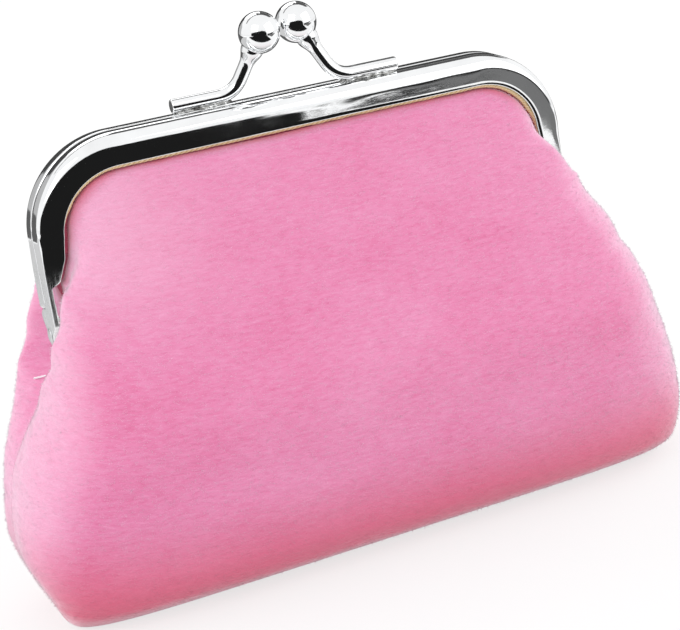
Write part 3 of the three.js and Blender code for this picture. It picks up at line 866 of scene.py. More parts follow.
def channel(side, joggle):
    """Half frame: a U channel of sheet carried along the crest. On the straps its flanges shrink to a fold,
    its web crosses the middle plane as the hinge tongue, cut round the rivet to swing, and the rear half's is
    coined inwards by the joggle in a round seat for the front one."""
    stops = crest(ARM_STOPS, CORNER_STOPS, BAR_STOPS)
    rise, turn = stops[:, 4:5], stops[:, 5:6]
    lip = lip_at(rise, turn)
    rim = mix(mix(STRAP_RIM, ARM_RIM, smooth(rise, FLANGE_START, FLANGE_WHOLE)), BAR_RIM, turn)
    tip = np.sqrt(np.maximum(TONGUE_RADIUS**2 - np.minimum(rise, 0) ** 2, TONGUE_TIP**2))
    face = mix(tip, HALF_DEPTH, smooth(rise, 0, STRAP_WIDE))
    arc = np.sqrt(np.maximum(TONGUE_SWING[side] ** 2 - rise**2, 0))
    crossed = np.where(rise < TONGUE_SWING[side], -np.minimum(arc, TONGUE_REACH[side]), MEETING_GAP)
    meeting = mix(-tip, crossed, smooth(rise, 0, STRAP_WIDE))
    roll = np.clip(lip - SHEET - LEAST_BEND - LEAST_ROLL, LEAST_ROLL, SHEET / 4)
    inside = np.maximum(rim - SHEET, LEAST_BEND)
    faces = []
    for settings in (
        (lip, meeting, face, BACK_RIM, rim, 0.0, roll, 1),
        (lip, meeting + SHEET, face - SHEET, LEAST_BEND, inside, SHEET, roll, -1),
    ):
        n, y = channel_face(*settings)
        run = run_length(stops[:, :2])[:, None] + 0 * n
        wave = SHEET_WAVE * ripple(run, n * SHEET_WAVE_FOLD, *SHEET_WAVE_LONG, SHEET_WAVE_SEED + side)
        wave = wave * smooth(rise, FLANGE_START, FLANGE_WHOLE)
        shift = joggle * (1 - smooth(np.hypot(rise, y), JOGGLE_WHOLE, JOGGLE_START))
        faces.append(at_stops(stops, n + shift, side * (y + wave)))
    return wall(*faces)


def hinge_rivet(side):
    """Hinge rivet turned about its own axis: domed head outside, shank, and a tail closed over inside."""
    inside = JOGGLE + STRAP_LIP + RIVET_PLAY
    under_head = RIVET_SEAT - RIVET_PLAY
    dome = np.linspace(0, math.pi / 2, 9)
    closing = np.linspace(0, math.pi / 2, 7)
    radius = np.concatenate([
        RIVET_HEAD_RADIUS * np.sin(dome), [RIVET_HEAD_RADIUS - RIVET_EDGE, RIVET_RADIUS, RIVET_RADIUS],
        RIVET_TAIL_RADIUS * np.cos(closing),
    ])
    along = np.concatenate([
        -RIVET_PLAY - RIVET_HEAD_HEIGHT * np.cos(dome), [under_head, under_head, inside],
        inside + RIVET_HEAD_HEIGHT * RIVET_TAIL_SHARE * np.sin(closing),
    ])
    hinge_x = HALF_WIDTH + (CORNER_Z - HINGE_Z) * ARM_SPLAY
    return turned((side * hinge_x, 0, HINGE_Z), (-side, 0, 0), along, radius, 36)


# Clasp

def clasp_points(side, way):
    """Heel, ball centre, toe and lean of a clasp leg, whose foot lies on the rim towards way."""
    foot_z = CROWN + ROD_RADIUS + BRAZE_GAP
    heel = np.array([CLASP_OFFSET + way * FOOT_INNER, side * FOOT_DEPTH, foot_z])
    ball = np.array([CLASP_OFFSET + way * BALL_SPACING / 2, -side * BALL_OVERLAP, CROWN + BALL_HEIGHT])
    toe = np.array([CLASP_OFFSET + way * FOOT_OUTER, side * FOOT_DEPTH, foot_z])
    return heel, ball, toe, unit(ball - heel)


def clasp_leg(side, way):
    """Rod swept along a straight foot, a parabola round the heel and a straight leg into the ball. Its toe is
    cut square with a rounded edge, and it flares into a neck under the ball."""
    heel, ball, toe, lean = clasp_points(side, way)
    before, after = heel + (way * ROD_BEND, 0, 0), heel + lean * ROD_BEND
    t = np.linspace(0, 1, 40)[:, None]
    bent = (1 - t) ** 2 * before + 2 * t * (1 - t) * heel + t**2 * after
    line = np.concatenate([mix(toe, before, t)[:-1], bent, mix(after, ball - lean, t)[1:]])
    run = run_length(line)
    edge = ROD_CHAMFER * (1 - np.cos(np.linspace(0, math.pi / 2, 7)))
    steps = np.concatenate([edge, np.linspace(2 * ROD_CHAMFER, run[-1], 90)])
    path = np.stack([np.interp(steps, run, line[:, k]) for k in range(3)], -1)
    short = 1 - np.clip(steps / ROD_CHAMFER, 0, 1)
    to_ball = np.linalg.norm(path - ball, axis=-1)
    near = 1 - smooth(to_ball, BALL_RADIUS - ROD_NECK_SINK, BALL_RADIUS + ROD_NECK_LENGTH)
    neck = ROD_NECK * near**ROD_NECK_CURVE
    radius = ROD_RADIUS - ROD_CHAMFER * (1 - np.sqrt(1 - short**2)) + neck
    return tube(sweep(path, radius, 32, (0, 1, 0)), path[0], path[-1])


def clasp_ball(side, way):
    """Ball turned about its leg's axis."""
    _, ball, _, lean = clasp_points(side, way)
    polar = np.linspace(0, math.pi, 41)
    return turned(ball, lean, BALL_RADIUS * np.cos(polar), BALL_RADIUS * np.sin(polar), 64)


def braze_bead(side, way):
    """Bead of brazing metal under a foot: a flat ellipse carried along it, whose width and height are uneven
    and taper to its ends as the root of a sine."""
    start, end = FOOT_INNER + BRAZE_FROM_HEEL, FOOT_OUTER - BRAZE_FROM_TOE
    x = CLASP_OFFSET + way * np.linspace(start, end, BRAZE_STOPS)
    path = np.stack([x, np.full_like(x, side * FOOT_DEPTH), np.full_like(x, CROWN + BRAZE_LIFT)], -1)
    angle = np.linspace(0, 2 * math.pi, BRAZE_AROUND, endpoint=False)[None]
    along, round_it = np.broadcast_arrays(x[:, None], BRAZE_LUMPS_ROUND * np.cos(angle))
    lumps = 1 + BRAZE_LUMPS * ripple(along, round_it, *BRAZE_LUMPS_LONG, BRAZE_SEED + side)
    taper = np.sqrt(np.sin(np.linspace(BRAZE_TAPER, math.pi - BRAZE_TAPER, BRAZE_STOPS)))[:, None]
    wide, high = BRAZE_HALF_WIDTH * lumps * taper, BRAZE_HALF_HEIGHT * lumps * taper
    size = 1 / np.sqrt((np.sin(angle) / wide) ** 2 + (np.cos(angle) / high) ** 2)
    return tube(sweep(path, size, BRAZE_AROUND, (0, 1, 0)), path[0], path[-1])


# Paper cord and threads

def strands(run, angle, pitch, count):
    """Shape of a twisted cord: 1 on the crown of each strand and 0 in the grooves, turning once per pitch."""
    return np.abs(np.cos(count / 2 * (angle + 2 * math.pi * run[:, None] / pitch)))


def paper_cord(side):
    """Twisted paper pushed into the channel in front of the plush, deeper on the arms, and its twist, which also sets
    the painted shade in its grooves.
    """
    stops = crest(ARM_STOPS, CORD_CORNER_STOPS, CORD_BAR_STOPS)
    stops = stops[stops[:, 4] > CORD_START]
    shows = mix(CORD_TUCKED, CORD_SHOWS, smooth(stops[:, 5], 0, CORD_FREE_TURN))
    n = (lip_at(stops[:, 4], stops[:, 5]) + shows)[:, None]
    angle = np.linspace(0, 2 * math.pi, CORD_AROUND, endpoint=False)[None]
    run = run_length(stops[:, :2])
    twist = strands(run, angle, CORD_PITCH, CORD_STRANDS)
    along, round_it = np.broadcast_arrays(run[:, None], angle)
    uneven = CORD_UNEVEN * ripple(along, round_it, *CORD_UNEVEN_LONG, CORD_SEED + side)
    size = CORD_RADIUS * (1 - CORD_GROOVE + CORD_GROOVE * twist + uneven)
    rings = at_stops(stops, n + size * np.cos(angle), side * (CORD_DEPTH + size * np.sin(angle)))
    return tube(rings, rings[0].mean(0), rings[-1].mean(0)), np.concatenate([twist.ravel(), [0.5, 0.5]])


def twisted_line(path, radius, pitch, reference):
    """Two-ply thread along a path, and its twist, which also sets the painted shade in its grooves."""
    angle = np.linspace(0, 2 * math.pi, THREAD_AROUND, endpoint=False)[None]
    twist = strands(run_length(path), angle, pitch, THREAD_PLIES)
    rings = sweep(path, radius * (1 - THREAD_GROOVE + THREAD_GROOVE * twist), THREAD_AROUND, reference)
    return tube(rings, path[0], path[-1]), np.concatenate([twist.ravel(), [0.5, 0.5]])


# Pouch

def lean_at(z):
    """The pouch's middle surface leans forward from the hinges down to the base, as u^2(2 - u)."""
    u = np.clip((HINGE_Z - z) / HINGE_Z, 0, 1)
    return -POUCH_LEAN * u * u * (2 - u)


def twist_at(x, z):
    """The pouch turns a little as it drops: y changes by a twist times x and the square of the drop's
    share."""
    return POUCH_TWIST * x * np.clip(1 - z / HINGE_Z, 0, 1) ** 2


def fabric_lip(stops):
    """Distance inwards from the crest at which the cloth leaves the channel."""
    strap = mix(STRAP_CLEARANCE, STRAP_NEAR, smooth(stops[:, 4], STRAP_NEAR_LOW, STRAP_NEAR_HIGH))
    clearance = mix(LIP_CLEARANCE, BAR_CLEARANCE, stops[:, 5])
    return np.maximum(lip_at(stops[:, 4], stops[:, 5]) + clearance, strap)


def pouch_rows(inset, counts):
    """Rows of a pouch wall from the base seam up to the bar, for a face that lies inset from the outer one,
    as columns of height, height on the outer face, half width, spread of the base from its seam, and held,
    which goes from 0 at the side seam to 1 in the channel. The base curls up at its edge by the square of the
    spread past its flat."""
    spread_out = np.arange(counts["base"]) / counts["base"]
    curl = BASE_LIFT * np.clip((spread_out - BASE_FLAT) / (1 - BASE_FLAT), 0, 1) ** 2
    end = through(SEAM_X, np.full_like(curl, BASE_LIFT)) - inset
    base = np.stack([inset + curl, np.full_like(curl, BASE_LIFT), end, spread_out, 0 * curl], -1)
    height = mix(BASE_LIFT, HINGE_Z, np.arange(counts["wall"]) / counts["wall"])
    z = mix(inset, HINGE_Z, height / HINGE_Z)
    side = np.stack([z, z, through(SEAM_X, z) - inset, 1 + 0 * z, 0 * z], -1)
    stops = crest(counts["arm"], counts["corner"], 1)[: counts["arm"] + counts["corner"] + 1]
    stops = stops[stops[:, 4] > HELD_START]
    lip = at_stops(stops, (fabric_lip(stops) + inset)[:, None], 0.0)[:, 0]
    outer_z = at_stops(stops, fabric_lip(stops)[:, None], 0.0)[:, 0, 2]
    held = smooth(stops[:, 4], 0, FLANGE_START)
    top = np.stack([lip[:, 2], outer_z, lip[:, 0], 1 + 0 * held, held], -1)
    return np.concatenate([base, side, top])


def pouch_face(side, layer, counts, inset, stand):
    """One face of a pouch wall: at each row half a superellipse, which stands off the middle surface by its
    edge, is drawn in at its seam and round the hinge strap, and swells past the seam as it comes forward."""
    z, outer_z, end, spread_out, held = (column[:, None] for column in pouch_rows(inset, counts).T)
    full = through(DEPTHS[side], outer_z)
    depth = full * full / (full + inset)
    square = through(SQUARENESS, outer_z)
    room = STRAP_ROOM * smooth(z, HINGE_Z - STRAP_ROOM_START, HINGE_Z - STRAP_ROOM_WHOLE)
    even = np.linspace(0, math.pi, layer["columns"])[None]
    a = even + COLUMN_CROWD * np.sin(4 * even)
    c, s = np.cos(a), np.maximum(np.sin(a), 0)
    left, right = (through(stations, outer_z) * layer["swell"] for stations in LOBES[side])
    lobe = mix(left, right, smooth(c, -LOBE_CROSS, LOBE_CROSS))
    r = (np.abs(c) ** square + s**square) ** (-1 / square)
    out = depth * r * s
    half = end + lobe * smooth(out, room, room + LOBE_SWELL)
    drawn = smooth(z - inset, SEAM_PULL_LOW, SEAM_PULL_HIGH) * (1 - held)
    half = half - SEAM_PULL * np.exp(-((out / SEAM_PULL_WIDTH) ** 2)) * drawn
    edge = mix(SEAM_GAP, stand, held)
    x = r * c * half
    y = lean_at(z) + twist_at(x, z) + side * (edge + out * spread_out)
    return np.stack(np.broadcast_arrays(x, y, z), -1)


def cloth_place(face):
    """Place of each point of a face on its cloth: the length along its row from the middle column, and the
    length up the middle column to its row."""
    middle = face.shape[1] // 2
    along = run_length(face.swapaxes(0, 1)).T
    along = along - along[:, middle, None]
    return np.stack([along, run_length(face[:, middle])[:, None] + 0 * along], -1)


def painted_shade_of(face):
    """How much painted shade lies at each point of a face: a painted shadow along the channel, beside the frame's
    edge, and a painted shade near the table."""
    along, up = np.moveaxis(cloth_place(face), -1, 0)
    to_end = np.abs(along).max(axis=1, keepdims=True) - np.abs(along)
    from_arm = np.where(face[..., 2] > HINGE_Z, to_end / ARM_SHADOW_WIDTH, 1)
    # Painted shadow along the channel's edge, on the arms and under the bar.
    channel_shadow = 1 - smooth(np.minimum(from_arm, (up[-1] - up) / BAR_SHADOW_WIDTH), 0, 1)
    # Painted shade, darker and redder towards the table.
    base_shade = 1 - smooth(face[..., 2], BASE_SHADE_LOW, BASE_SHADE_HIGH)
    return np.maximum(CHANNEL_SHADOW * channel_shadow, BASE_SHADE * base_shade)


def painted_sheen(face, side):
    """How much painted sheen lies at each point of a face: most on the lobes, which bend the cloth round to the sides,
    by how far its normal points left or right, and some below the frame's left corner."""
    bent = np.interp(face_normals(face, side)[..., 0], *np.transpose(SIDE_SHEEN))
    corner = smooth(-face[..., 0], *CORNER_SHEEN_X) * smooth(face[..., 2], *CORNER_SHEEN_Z)
    return np.maximum(bent, CORNER_SHEEN * corner)


def face_normals(face, side):
    """Unit normals of a face, outwards, from the cross product of its two directions."""
    normal = unit(np.cross(np.gradient(face, axis=1), np.gradient(face, axis=0)))
    middle = normal[face.shape[0] // 2, face.shape[1] // 2]
    return normal * np.sign(middle[1] * side)


def channel_edge(side, layer):
    """Edge of a cloth that is pushed into the channel: a thin strip with rounded corners, carried along the crest."""
    stops = crest(ARM_STOPS, CORNER_STOPS, BAR_STOPS)
    stops = stops[stops[:, 4] > CORD_START]
    reach = (fabric_lip(stops) + layer["inset"] + EDGE_OVERLAP)[:, None]
    corner = layer["half"] * EDGE_ROUND
    share = np.array([0, 0, 0.5, 1, 1])
    pull = corner * np.array([0, 1, 0, -1, 0])
    n = mix(EDGE_SEAT, reach, share) + pull
    inset = corner * np.array([1, 0, 0, 0, 1])
    outer = at_stops(stops, n, side * (layer["seat"] + layer["half"] - inset))
    inner = at_stops(stops, n, side * (layer["seat"] - layer["half"] + inset))
    return wall(outer, inner)


def pouch_layer(side, layer, counts):
    """A layer of the pouch on one side: its wall, with a soft relief raised along the normals of its outer face, and
    its edge in the channel, with the place of every point on the cloth, and its painted shade and painted sheen there.
    Also the outer face."""
    stand = layer["half"] + EDGE_STEP
    outer = pouch_face(side, layer, counts, layer["inset"], layer["seat"] + stand)
    inner = pouch_face(side, layer, counts, layer["inset"] + layer["thickness"], layer["seat"] - stand)
    place = cloth_place(outer)
    from_seam = RELIEF_FROM_SEAM * np.sin(np.linspace(0, math.pi, outer.shape[1]))[None]
    free = np.minimum(1, from_seam) * smooth(outer[..., 2], RELIEF_LOW, RELIEF_HIGH)
    raised = sum(
        share * ripple(place[..., 0], place[..., 1], along, up, seed + side)
        for share, along, up, seed in CLOTH_RELIEFS
    )
    outer = outer + face_normals(outer, side) * (layer["relief"] * free * raised)[..., None]
    edge = channel_edge(side, layer)
    edge_place = np.stack([edge[0][:, 0], EDGE_PLACE + edge[0][:, 2] + edge[0][:, 1]], -1)
    on_wall = np.concatenate([place, place[:, ::-1]], axis=1).reshape(-1, 2)
    fields = {}
    # The edge in the channel takes the full painted shadow and no painted sheen.
    shares = {"painted_shade": (painted_shade_of(outer), CHANNEL_SHADOW), "painted_sheen": (painted_sheen(outer, side), 0)}
    for key, (share, at_edge) in shares.items():
        both_faces = np.concatenate([share, share[:, ::-1]], axis=1).ravel()
        fields[key] = np.concatenate([both_faces, np.full(len(edge_place), at_edge)])
    return [wall(outer, inner), edge], np.concatenate([on_wall, edge_place]), fields, outer


def face_cells(face):
    """Cells of a face: their sides across and up, and their areas by the cross product."""
    across, up = face[:-1, 1:] - face[:-1, :-1], face[1:, :-1] - face[:-1, :-1]
    return across, up, np.linalg.norm(np.cross(across, up), axis=-1)


def loose_pile(face, side):
    """Pile fibres scattered evenly over a face, as thin three-sided spikes. Each leans from the face's normal towards
    the lie of the pile, which runs along the rows and droops, with a random turn. Also each point's place on the
    cloth, the tint of its fibre, its painted sheen, which grows to the tip, how much painted shade and painted sheen
    the cloth has there, and the cloth's normal, by which the pile is shaded."""
    rng = np.random.default_rng(PILE_SEED + side)
    count = PILE_COUNT
    across, up, area = face_cells(face)
    area[face[:-1, :-1, 2] < PILE_START] = 0
    chosen = rng.choice(area.size, count, p=(area / area.sum()).ravel())
    i, j = np.divmod(chosen, area.shape[1])
    root = face[i, j] + rng.random((count, 1)) * across[i, j] + rng.random((count, 1)) * up[i, j]
    normal = face_normals(face, side)[i, j]
    forward = rng.choice([-1, 1], (count, 1), p=[1 - PILE_FORWARD, PILE_FORWARD])
    lie = unit(unit(across[i, j]) * forward - PILE_DROOP * unit(up[i, j]))
    heading = unit(PILE_STAND * normal + PILE_LIE * lie + PILE_STRAY * rng.normal(size=(count, 3)))
    too_flat = np.maximum(PILE_LEAST_STAND - (heading * normal).sum(-1, keepdims=True), 0)
    heading = unit(heading + too_flat * normal)
    length = rng.uniform(*PILE_LENGTH, (count, 1))
    side_way = unit(np.cross(heading, normal + 0.01))
    other_way = np.cross(heading, side_way)
    thick = rng.uniform(*PILE_THICK, (count, 1))
    foot = root - PILE_ROOT * normal
    feet = [foot + thick * (math.cos(k) * side_way + math.sin(k) * other_way) for k in (0.5, 2.6, 4.7)]
    points = np.stack([*feet, root + heading * length], axis=1).reshape(-1, 3)
    corner = np.array([[0, 1, 3], [1, 2, 3], [2, 0, 3], [2, 1, 0]])
    triangles = (np.arange(count)[:, None, None] * 4 + corner).reshape(-1, 3)
    fibre = {
        "fibre_tint": rng.random(count), "painted_shade": painted_shade_of(face)[i, j],
        "painted_sheen": painted_sheen(face, side)[i, j],
    }
    fields = {key: np.repeat(values, 4) for key, values in fibre.items()}
    # Painted sheen: the fibres grow paler from foot to tip.
    fields["tip_sheen"] = np.tile([PILE_FOOT_SHEEN, PILE_FOOT_SHEEN, PILE_FOOT_SHEEN, 1.0], count)
    place = np.repeat(cloth_place(face)[i, j], 4, axis=0)
    return (points, NO_QUADS, triangles), place, fields, np.repeat(normal, 4, axis=0)


def seam_line():
    """Line of the seam's thread: midway between the plush and the lining, down both sides and along the base,
    in even steps."""
    plush = pouch_rows(PLUSH["thickness"], PLUSH_ROWS)
    lining = pouch_rows(LINING["inset"], PLUSH_ROWS)
    middle = (plush + lining) / 2
    middle = middle[(middle[:, 3] == 1) & (middle[:, 0] < HINGE_Z - THREAD_START)]
    side = np.stack([middle[:, 2], 0 * middle[:, 0], middle[:, 0]], -1)[::-1]
    share = np.linspace(0.985, 0, 60)
    base = side[-1] * np.stack([share, np.ones_like(share), np.ones_like(share)], -1)
    right = np.concatenate([side, base])
    left = (right * (-1, 1, 1))[-2::-1]
    line = np.concatenate([right, left])
    line[:, 1] = lean_at(line[:, 2]) + twist_at(line[:, 0], line[:, 2])
    run = run_length(line)
    steps = np.linspace(0, run[-1], THREAD_STOPS)
    return np.stack([np.interp(steps, run, line[:, k]) for k in range(3)], -1)


def loose_stitch(face, side):
    """End of a thread on a panel beside its left seam: a short run along one row of the face, raised off it
    and sloping."""
    row = np.abs(face[:, -1, 2] - STITCH_HEIGHT).argmin()
    line = (face + STITCH_LIFT * face_normals(face, side))[row, ::-1]
    run = run_length(line)
    share = np.linspace(0, 1, STITCH_STOPS)
    path = [np.interp(mix(STITCH_START, STITCH_END, share), run, line[:, k]) for k in range(3)]
    return np.stack(path, -1) + STITCH_RISE * np.outer(0.5 - share, (0, 0, 1))


def cloth_cut(face):
    """Flat size of the cloth that makes a face: its longest row, the length of its middle column, and the
    area of its cells, in metres."""
    place = cloth_place(face)
    width = np.ptp(place[..., 0], axis=1).max() * MM
    length = place[-1, 0, 1] * MM
    return {"flat": (width, length), "area": face_cells(face)[2].sum() * MM**2}


# Making the pieces

def bend_with(piece, half, lead=0.0):
    """Lets a piece of cloth bend from the pouch to its half frame, by height. The lining leads by a little,
    so that it stays behind the plush where that folds."""
    y = HINGE_AXIS[1]
    low, high = (BEND_LOW - lead) * MM, (BEND_HIGH - lead) * MM
    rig.blend(piece, "pouch", half, start=(0, y, low), end=(0, y, high))


for half, side, way in (("front", FRONT, 1), ("rear", REAR, -1)):
    body = f"{half}_half"
    skin = channel(side, JOGGLE if side == REAR else 0)
    frame_piece = add_piece(f"{half}_channel", [skin], CHROME, "chromed_steel")
    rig.replaces(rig.ride(frame_piece, body), f"{half}_frame")
    leg = add_piece(f"{half}_leg", [clasp_leg(side, way)], CHROME, "chromed_steel", sharp=50)
    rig.replaces(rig.ride(leg, body), f"{half}_clasp_leg")
    ball = add_piece(f"{half}_ball", [clasp_ball(side, way)], CHROME, "chromed_steel")
    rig.replaces(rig.ride(ball, body), f"{half}_clasp_ball")
    bead = add_piece(f"{half}_braze", [braze_bead(side, way)], BRAZE, "chromed_steel", sharp=80)
    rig.ride(bead, body)
    skin, twist = paper_cord(side)
    cord = add_piece(f"{half}_cord", [skin], PAPER, "paper_cord", fields={"twist": twist}, sharp=80)
    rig.replaces(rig.ride(cord, body), f"{half}_paper_cord")

    skins, place, fields, face = pouch_layer(side, PLUSH, PLUSH_ROWS)
    panel = add_piece(f"{half}_plush", skins, NAP, "plush", nap=place, fields=fields, sharp=60)
    bend_with(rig.replaces(panel, f"{half}_panel"), body)
    skin, place, fields, normals = loose_pile(face, side)
    pile = add_piece(f"{half}_pile", [skin], PILE, "plush", place, fields, sharp=180, normals=normals)
    pile.visible_shadow = False
    bend_with(pile, body)
    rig.sheet(panel, held="gathered", rests_on=[frame_piece], with_pieces=[pile], **cloth_cut(face))
    skins, place, _, inner_face = pouch_layer(side, LINING, LINING_ROWS)
    satin = add_piece(f"{half}_satin", skins, SATIN, "lining", nap=place, sharp=60)
    bend_with(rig.replaces(satin, f"{half}_lining"), body, LINING_LEAD)
    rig.sheet(satin, held="gathered", rests_on=[frame_piece], **cloth_cut(inner_face))

for name, side in (("right", 1), ("left", -1)):
    rivet = add_piece(f"{name}_rivet", [hinge_rivet(side)], CHROME, "chromed_steel", sharp=50)
    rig.replaces(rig.ride(rivet, "rear_half"), f"{name}_hinge_rivet")

skin, twist = twisted_line(seam_line(), THREAD_RADIUS, THREAD_PITCH, (0.2, 1, 0.1))
end_skin, end_twist = twisted_line(loose_stitch(face, REAR), STITCH_RADIUS, STITCH_PITCH, (0, 0, 1))
twist = np.concatenate([twist, end_twist])
seam = add_piece("seam_stitching", [skin, end_skin], THREAD, "thread", fields={"twist": twist}, sharp=180)
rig.replaces(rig.ride(seam, "pouch"), "seam_thread")


# Stage, in millimetres from the frame's plane and the table

AIM = (0, 0, 35)
FLOOR_HALF = 4000
FLOOR_Z = -0.05
FLOOR_TONE = (0.75, 0.75, 0.75, 1)
FLOOR_SEEN_TONE = (0.92, 0.92, 0.92, 1)
FLOOR_GLOW = 0.72
WHITE = (1, 1, 1, 1)
ROOM_LIGHT = 0.72

# Camera: degrees, millimetres from the aim below the crown, and pixels of the picture
CAMERA_TURN = 21.08
CAMERA_LIFT = 18.59
CAMERA_ROLL = 7.58
CAMERA_DROP = 35
CAMERA_DISTANCE = 283.33
CAMERA_FOCAL = 1832.96
PICTURE_CENTRE = (321.81, 311.96)
PICTURE_WIDTH = 680
PICTURE_HEIGHT = 630
SENSOR = 36.0

# Lamps: name, place, size, power, and whether the chrome mirrors it
LAMPS = [
    ("key_lamp", (-430, -430, 480), 420, 1.4, True),
    ("fill_lamp", (420, -420, 300), 500, 1.1, True),
    ("back_lamp", (60, 620, 520), 520, 1.6, True),
    ("left_lamp", (-600, 240, 220), 400, 1.3, False),
    ("right_lamp", (600, 200, 220), 400, 1.2, False),
]

# Cards that only the chrome shows, lying on the table at height 1: name, grey, and corners as x and y
TABLE_CARDS = [
    ("dark_table", 0.012, [(-420, -330), (115, -331), (110, -276), (97, -252), (84, -72), (-420, -72)]),
    ("table_mark", 0.05, [(98, -254), (130, -272), (170, -264), (130, -236)]),
    ("grey_table", 0.18, [(140, -330), (420, -330), (420, -120), (140, -120)]),
    ("left_table", 0.64, [(-420, 30), (-45, 30), (-45, 190), (-420, 190)]),
    ("back_table", 0.12, [(-45, 60), (500, 60), (500, 700), (-420, 700), (-420, 195), (-45, 195)]),
]

# The same, standing: name, grey, y, and corners as x and z
WALL_CARDS = [
    ("dark_wall", 0.012, -332, [
        (-700, 0), (115, 0), (111, 70), (98, 115), (60, 145), (-20, 170), (-700, 170),
    ]),
    ("low_wall", 0.02, -334, [(140, 0), (700, 0), (700, 40), (140, 40)]),
    ("back_wall", 0.05, 702, [(-60, 0), (700, 0), (700, 480), (-60, 480)]),
    ("back_shade", 0.4, 702, [(-60, 480), (700, 480), (700, 800), (-60, 800)]),
    ("left_wall", 0.5, 702, [(-700, 0), (-220, 0), (-220, 420), (-700, 420)]),
    ("middle_wall", 0.06, 702, [(-220, 0), (-60, 0), (-60, 480), (-220, 480)]),
]

# The same, sloping: name, grey, and corners
HIGH_CARDS = [
    ("right_ceiling", 0.1, [(190, 640, 500), (900, 640, 500), (900, 330, 820), (130, 330, 820)]),
    ("back_bar", 0.05, [(-700, 420, 760), (700, 420, 760), (700, 350, 800), (-700, 350, 800)]),
]


def on_stage(place):
    """Place on the stage in metres of the row frame."""
    return (np.array(place, float) + (0, FRAME_PLANE, 0)) * MM


def placed(thing, right, up, back, place):
    """Puts a lamp or camera at a place in metres, with its three axes, into the scene."""
    pose = np.eye(4)
    pose[:3, :4] = np.stack([right, up, back, place], 1)
    thing.matrix_world = Matrix(pose.tolist())
    bpy.context.scene.collection.objects.link(thing)


def flat_card(name, corners, finish):
    """Flat card with the given corners."""
    mesh = bpy.data.meshes.new(name)
    mesh.from_pydata(on_stage(corners).tolist(), [], [range(len(corners))])
    mesh.materials.append(finish)
    card = bpy.data.objects.new(name, mesh)
    bpy.context.scene.collection.objects.link(card)
    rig.stage(card)
    return card


def reflected_card(name, grey, corners):
    """Card that only shows in polished metal, as the dark things of a room do."""
    finish, tree = new_finish(name)
    glow = add(tree, "ShaderNodeEmission", {"Color": (grey, grey, grey, 1), "Strength": 1.0})
    show(tree, glow.outputs["Emission"])
    card = flat_card(name, corners, finish)
    card.visible_camera = False
    card.visible_diffuse = False
    card.visible_shadow = False
    card.visible_transmission = False
    card.visible_volume_scatter = False


def seen_share(tree):
    """1 for rays that show the background itself: from the camera, by reflection or through glass."""
    rays = add(tree, "ShaderNodeLightPath").outputs
    shown = calc(tree, "MAXIMUM", rays["Is Camera Ray"], rays["Is Glossy Ray"])
    return calc(tree, "MAXIMUM", shown, rays["Is Transmission Ray"])


def white_floor():
    """Pale floor that glows a little to what sees it, so that it is white but for the object's soft
    shadow."""
    finish, tree = new_finish("white_floor")
    seen = seen_share(tree)
    tone = blend_colours(tree, seen, FLOOR_TONE, FLOOR_SEEN_TONE)
    paper = add(tree, "ShaderNodeBsdfDiffuse", {"Color": tone})
    glow = add(tree, "ShaderNodeEmission", {"Color": WHITE, "Strength": 1.0})
    share = calc(tree, "MULTIPLY", seen, FLOOR_GLOW)
    both = add(tree, "ShaderNodeMixShader", {0: share, 1: paper.outputs["BSDF"], 2: glow.outputs["Emission"]})
    show(tree, both.outputs["Shader"])
    corners = [(-1, -1), (1, -1), (1, 1), (-1, 1)]
    flat_card("floor", [(x * FLOOR_HALF, y * FLOOR_HALF, FLOOR_Z) for x, y in corners], finish)


def white_room():
    """World that is white to what sees it and softer as a light."""
    world = bpy.data.worlds.new("white_room")
    world.use_nodes = True
    tree = world.node_tree
    tree.nodes.clear()
    strength = calc(tree, "ADD", ROOM_LIGHT, calc(tree, "MULTIPLY", seen_share(tree), 1 - ROOM_LIGHT))
    sky = add(tree, "ShaderNodeBackground", {"Color": WHITE, "Strength": strength})
    show(tree, sky.outputs["Background"], "ShaderNodeOutputWorld")
    bpy.context.scene.world = world


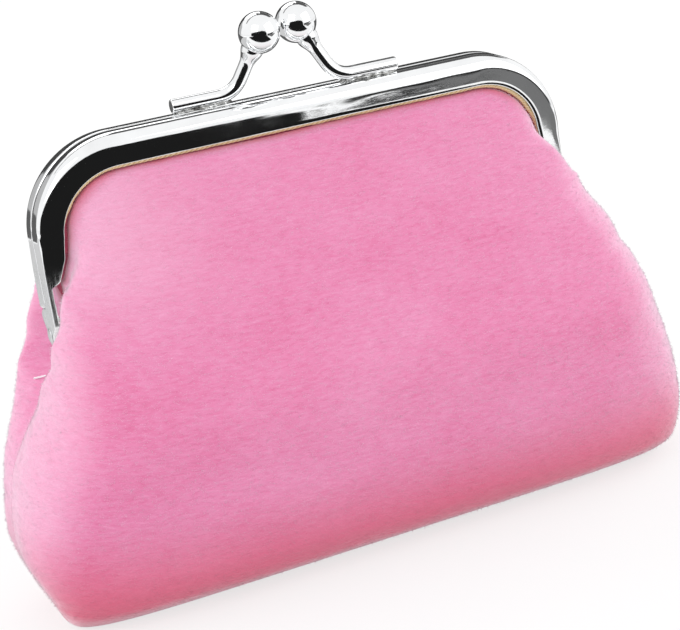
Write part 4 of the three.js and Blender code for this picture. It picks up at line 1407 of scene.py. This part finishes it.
def soft_lamp(name, place, size, power, mirrored):
    """Square lamp that faces the object and may be left out of what the chrome mirrors."""
    data = bpy.data.lights.new(name, "AREA")
    data.shape = "SQUARE"
    data.size = size * MM
    data.energy = power
    lamp = bpy.data.objects.new(name, data)
    lamp.visible_glossy = mirrored
    back = unit(np.array(place, float) - AIM)
    right = unit(np.cross((0, 0, 1), back))
    placed(lamp, right, np.cross(back, right), back, on_stage(place))


def photo_camera():
    """Camera at the photograph's place: turned to the left, raised, rolled and shifted as its frame shows."""
    turn, lift, roll = np.radians([CAMERA_TURN, CAMERA_LIFT, CAMERA_ROLL])
    back = np.array([-math.sin(turn) * math.cos(lift), -math.cos(turn) * math.cos(lift), math.sin(lift)])
    right = np.array([math.cos(turn), -math.sin(turn), 0])
    up = np.cross(back, right)
    across = math.cos(roll) * right - math.sin(roll) * up
    upright = math.sin(roll) * right + math.cos(roll) * up
    data = bpy.data.cameras.new("photo_camera")
    data.sensor_width = SENSOR
    data.lens = SENSOR * CAMERA_FOCAL / PICTURE_WIDTH
    data.shift_x = (PICTURE_WIDTH / 2 - PICTURE_CENTRE[0]) / PICTURE_WIDTH
    data.shift_y = (PICTURE_CENTRE[1] - PICTURE_HEIGHT / 2) / PICTURE_WIDTH
    data.clip_start = 0.01
    data.clip_end = 50.0
    camera = bpy.data.objects.new("photo_camera", data)
    placed(camera, across, upright, back, on_stage((0, 0, CROWN - CAMERA_DROP) + back * CAMERA_DISTANCE))
    bpy.context.scene.camera = camera


photo_camera()
white_floor()
white_room()
for lamp in LAMPS:
    soft_lamp(*lamp)
for name, grey, corners in TABLE_CARDS:
    reflected_card(name, grey, [(x, y, 1) for x, y in corners])
for name, grey, y, corners in WALL_CARDS:
    reflected_card(name, grey, [(x, y, z) for x, z in corners])
for name, grey, corners in HIGH_CARDS:
    reflected_card(name, grey, corners)

bpy.context.scene.view_settings.view_transform = "Standard"
bpy.context.view_layer.update()
seen_low, seen_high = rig.bounds()
with open("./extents.json", "w") as sizes:
    json.dump({"cad": [list(cad_low), list(cad_high)], "visual": [list(seen_low), list(seen_high)]}, sizes)
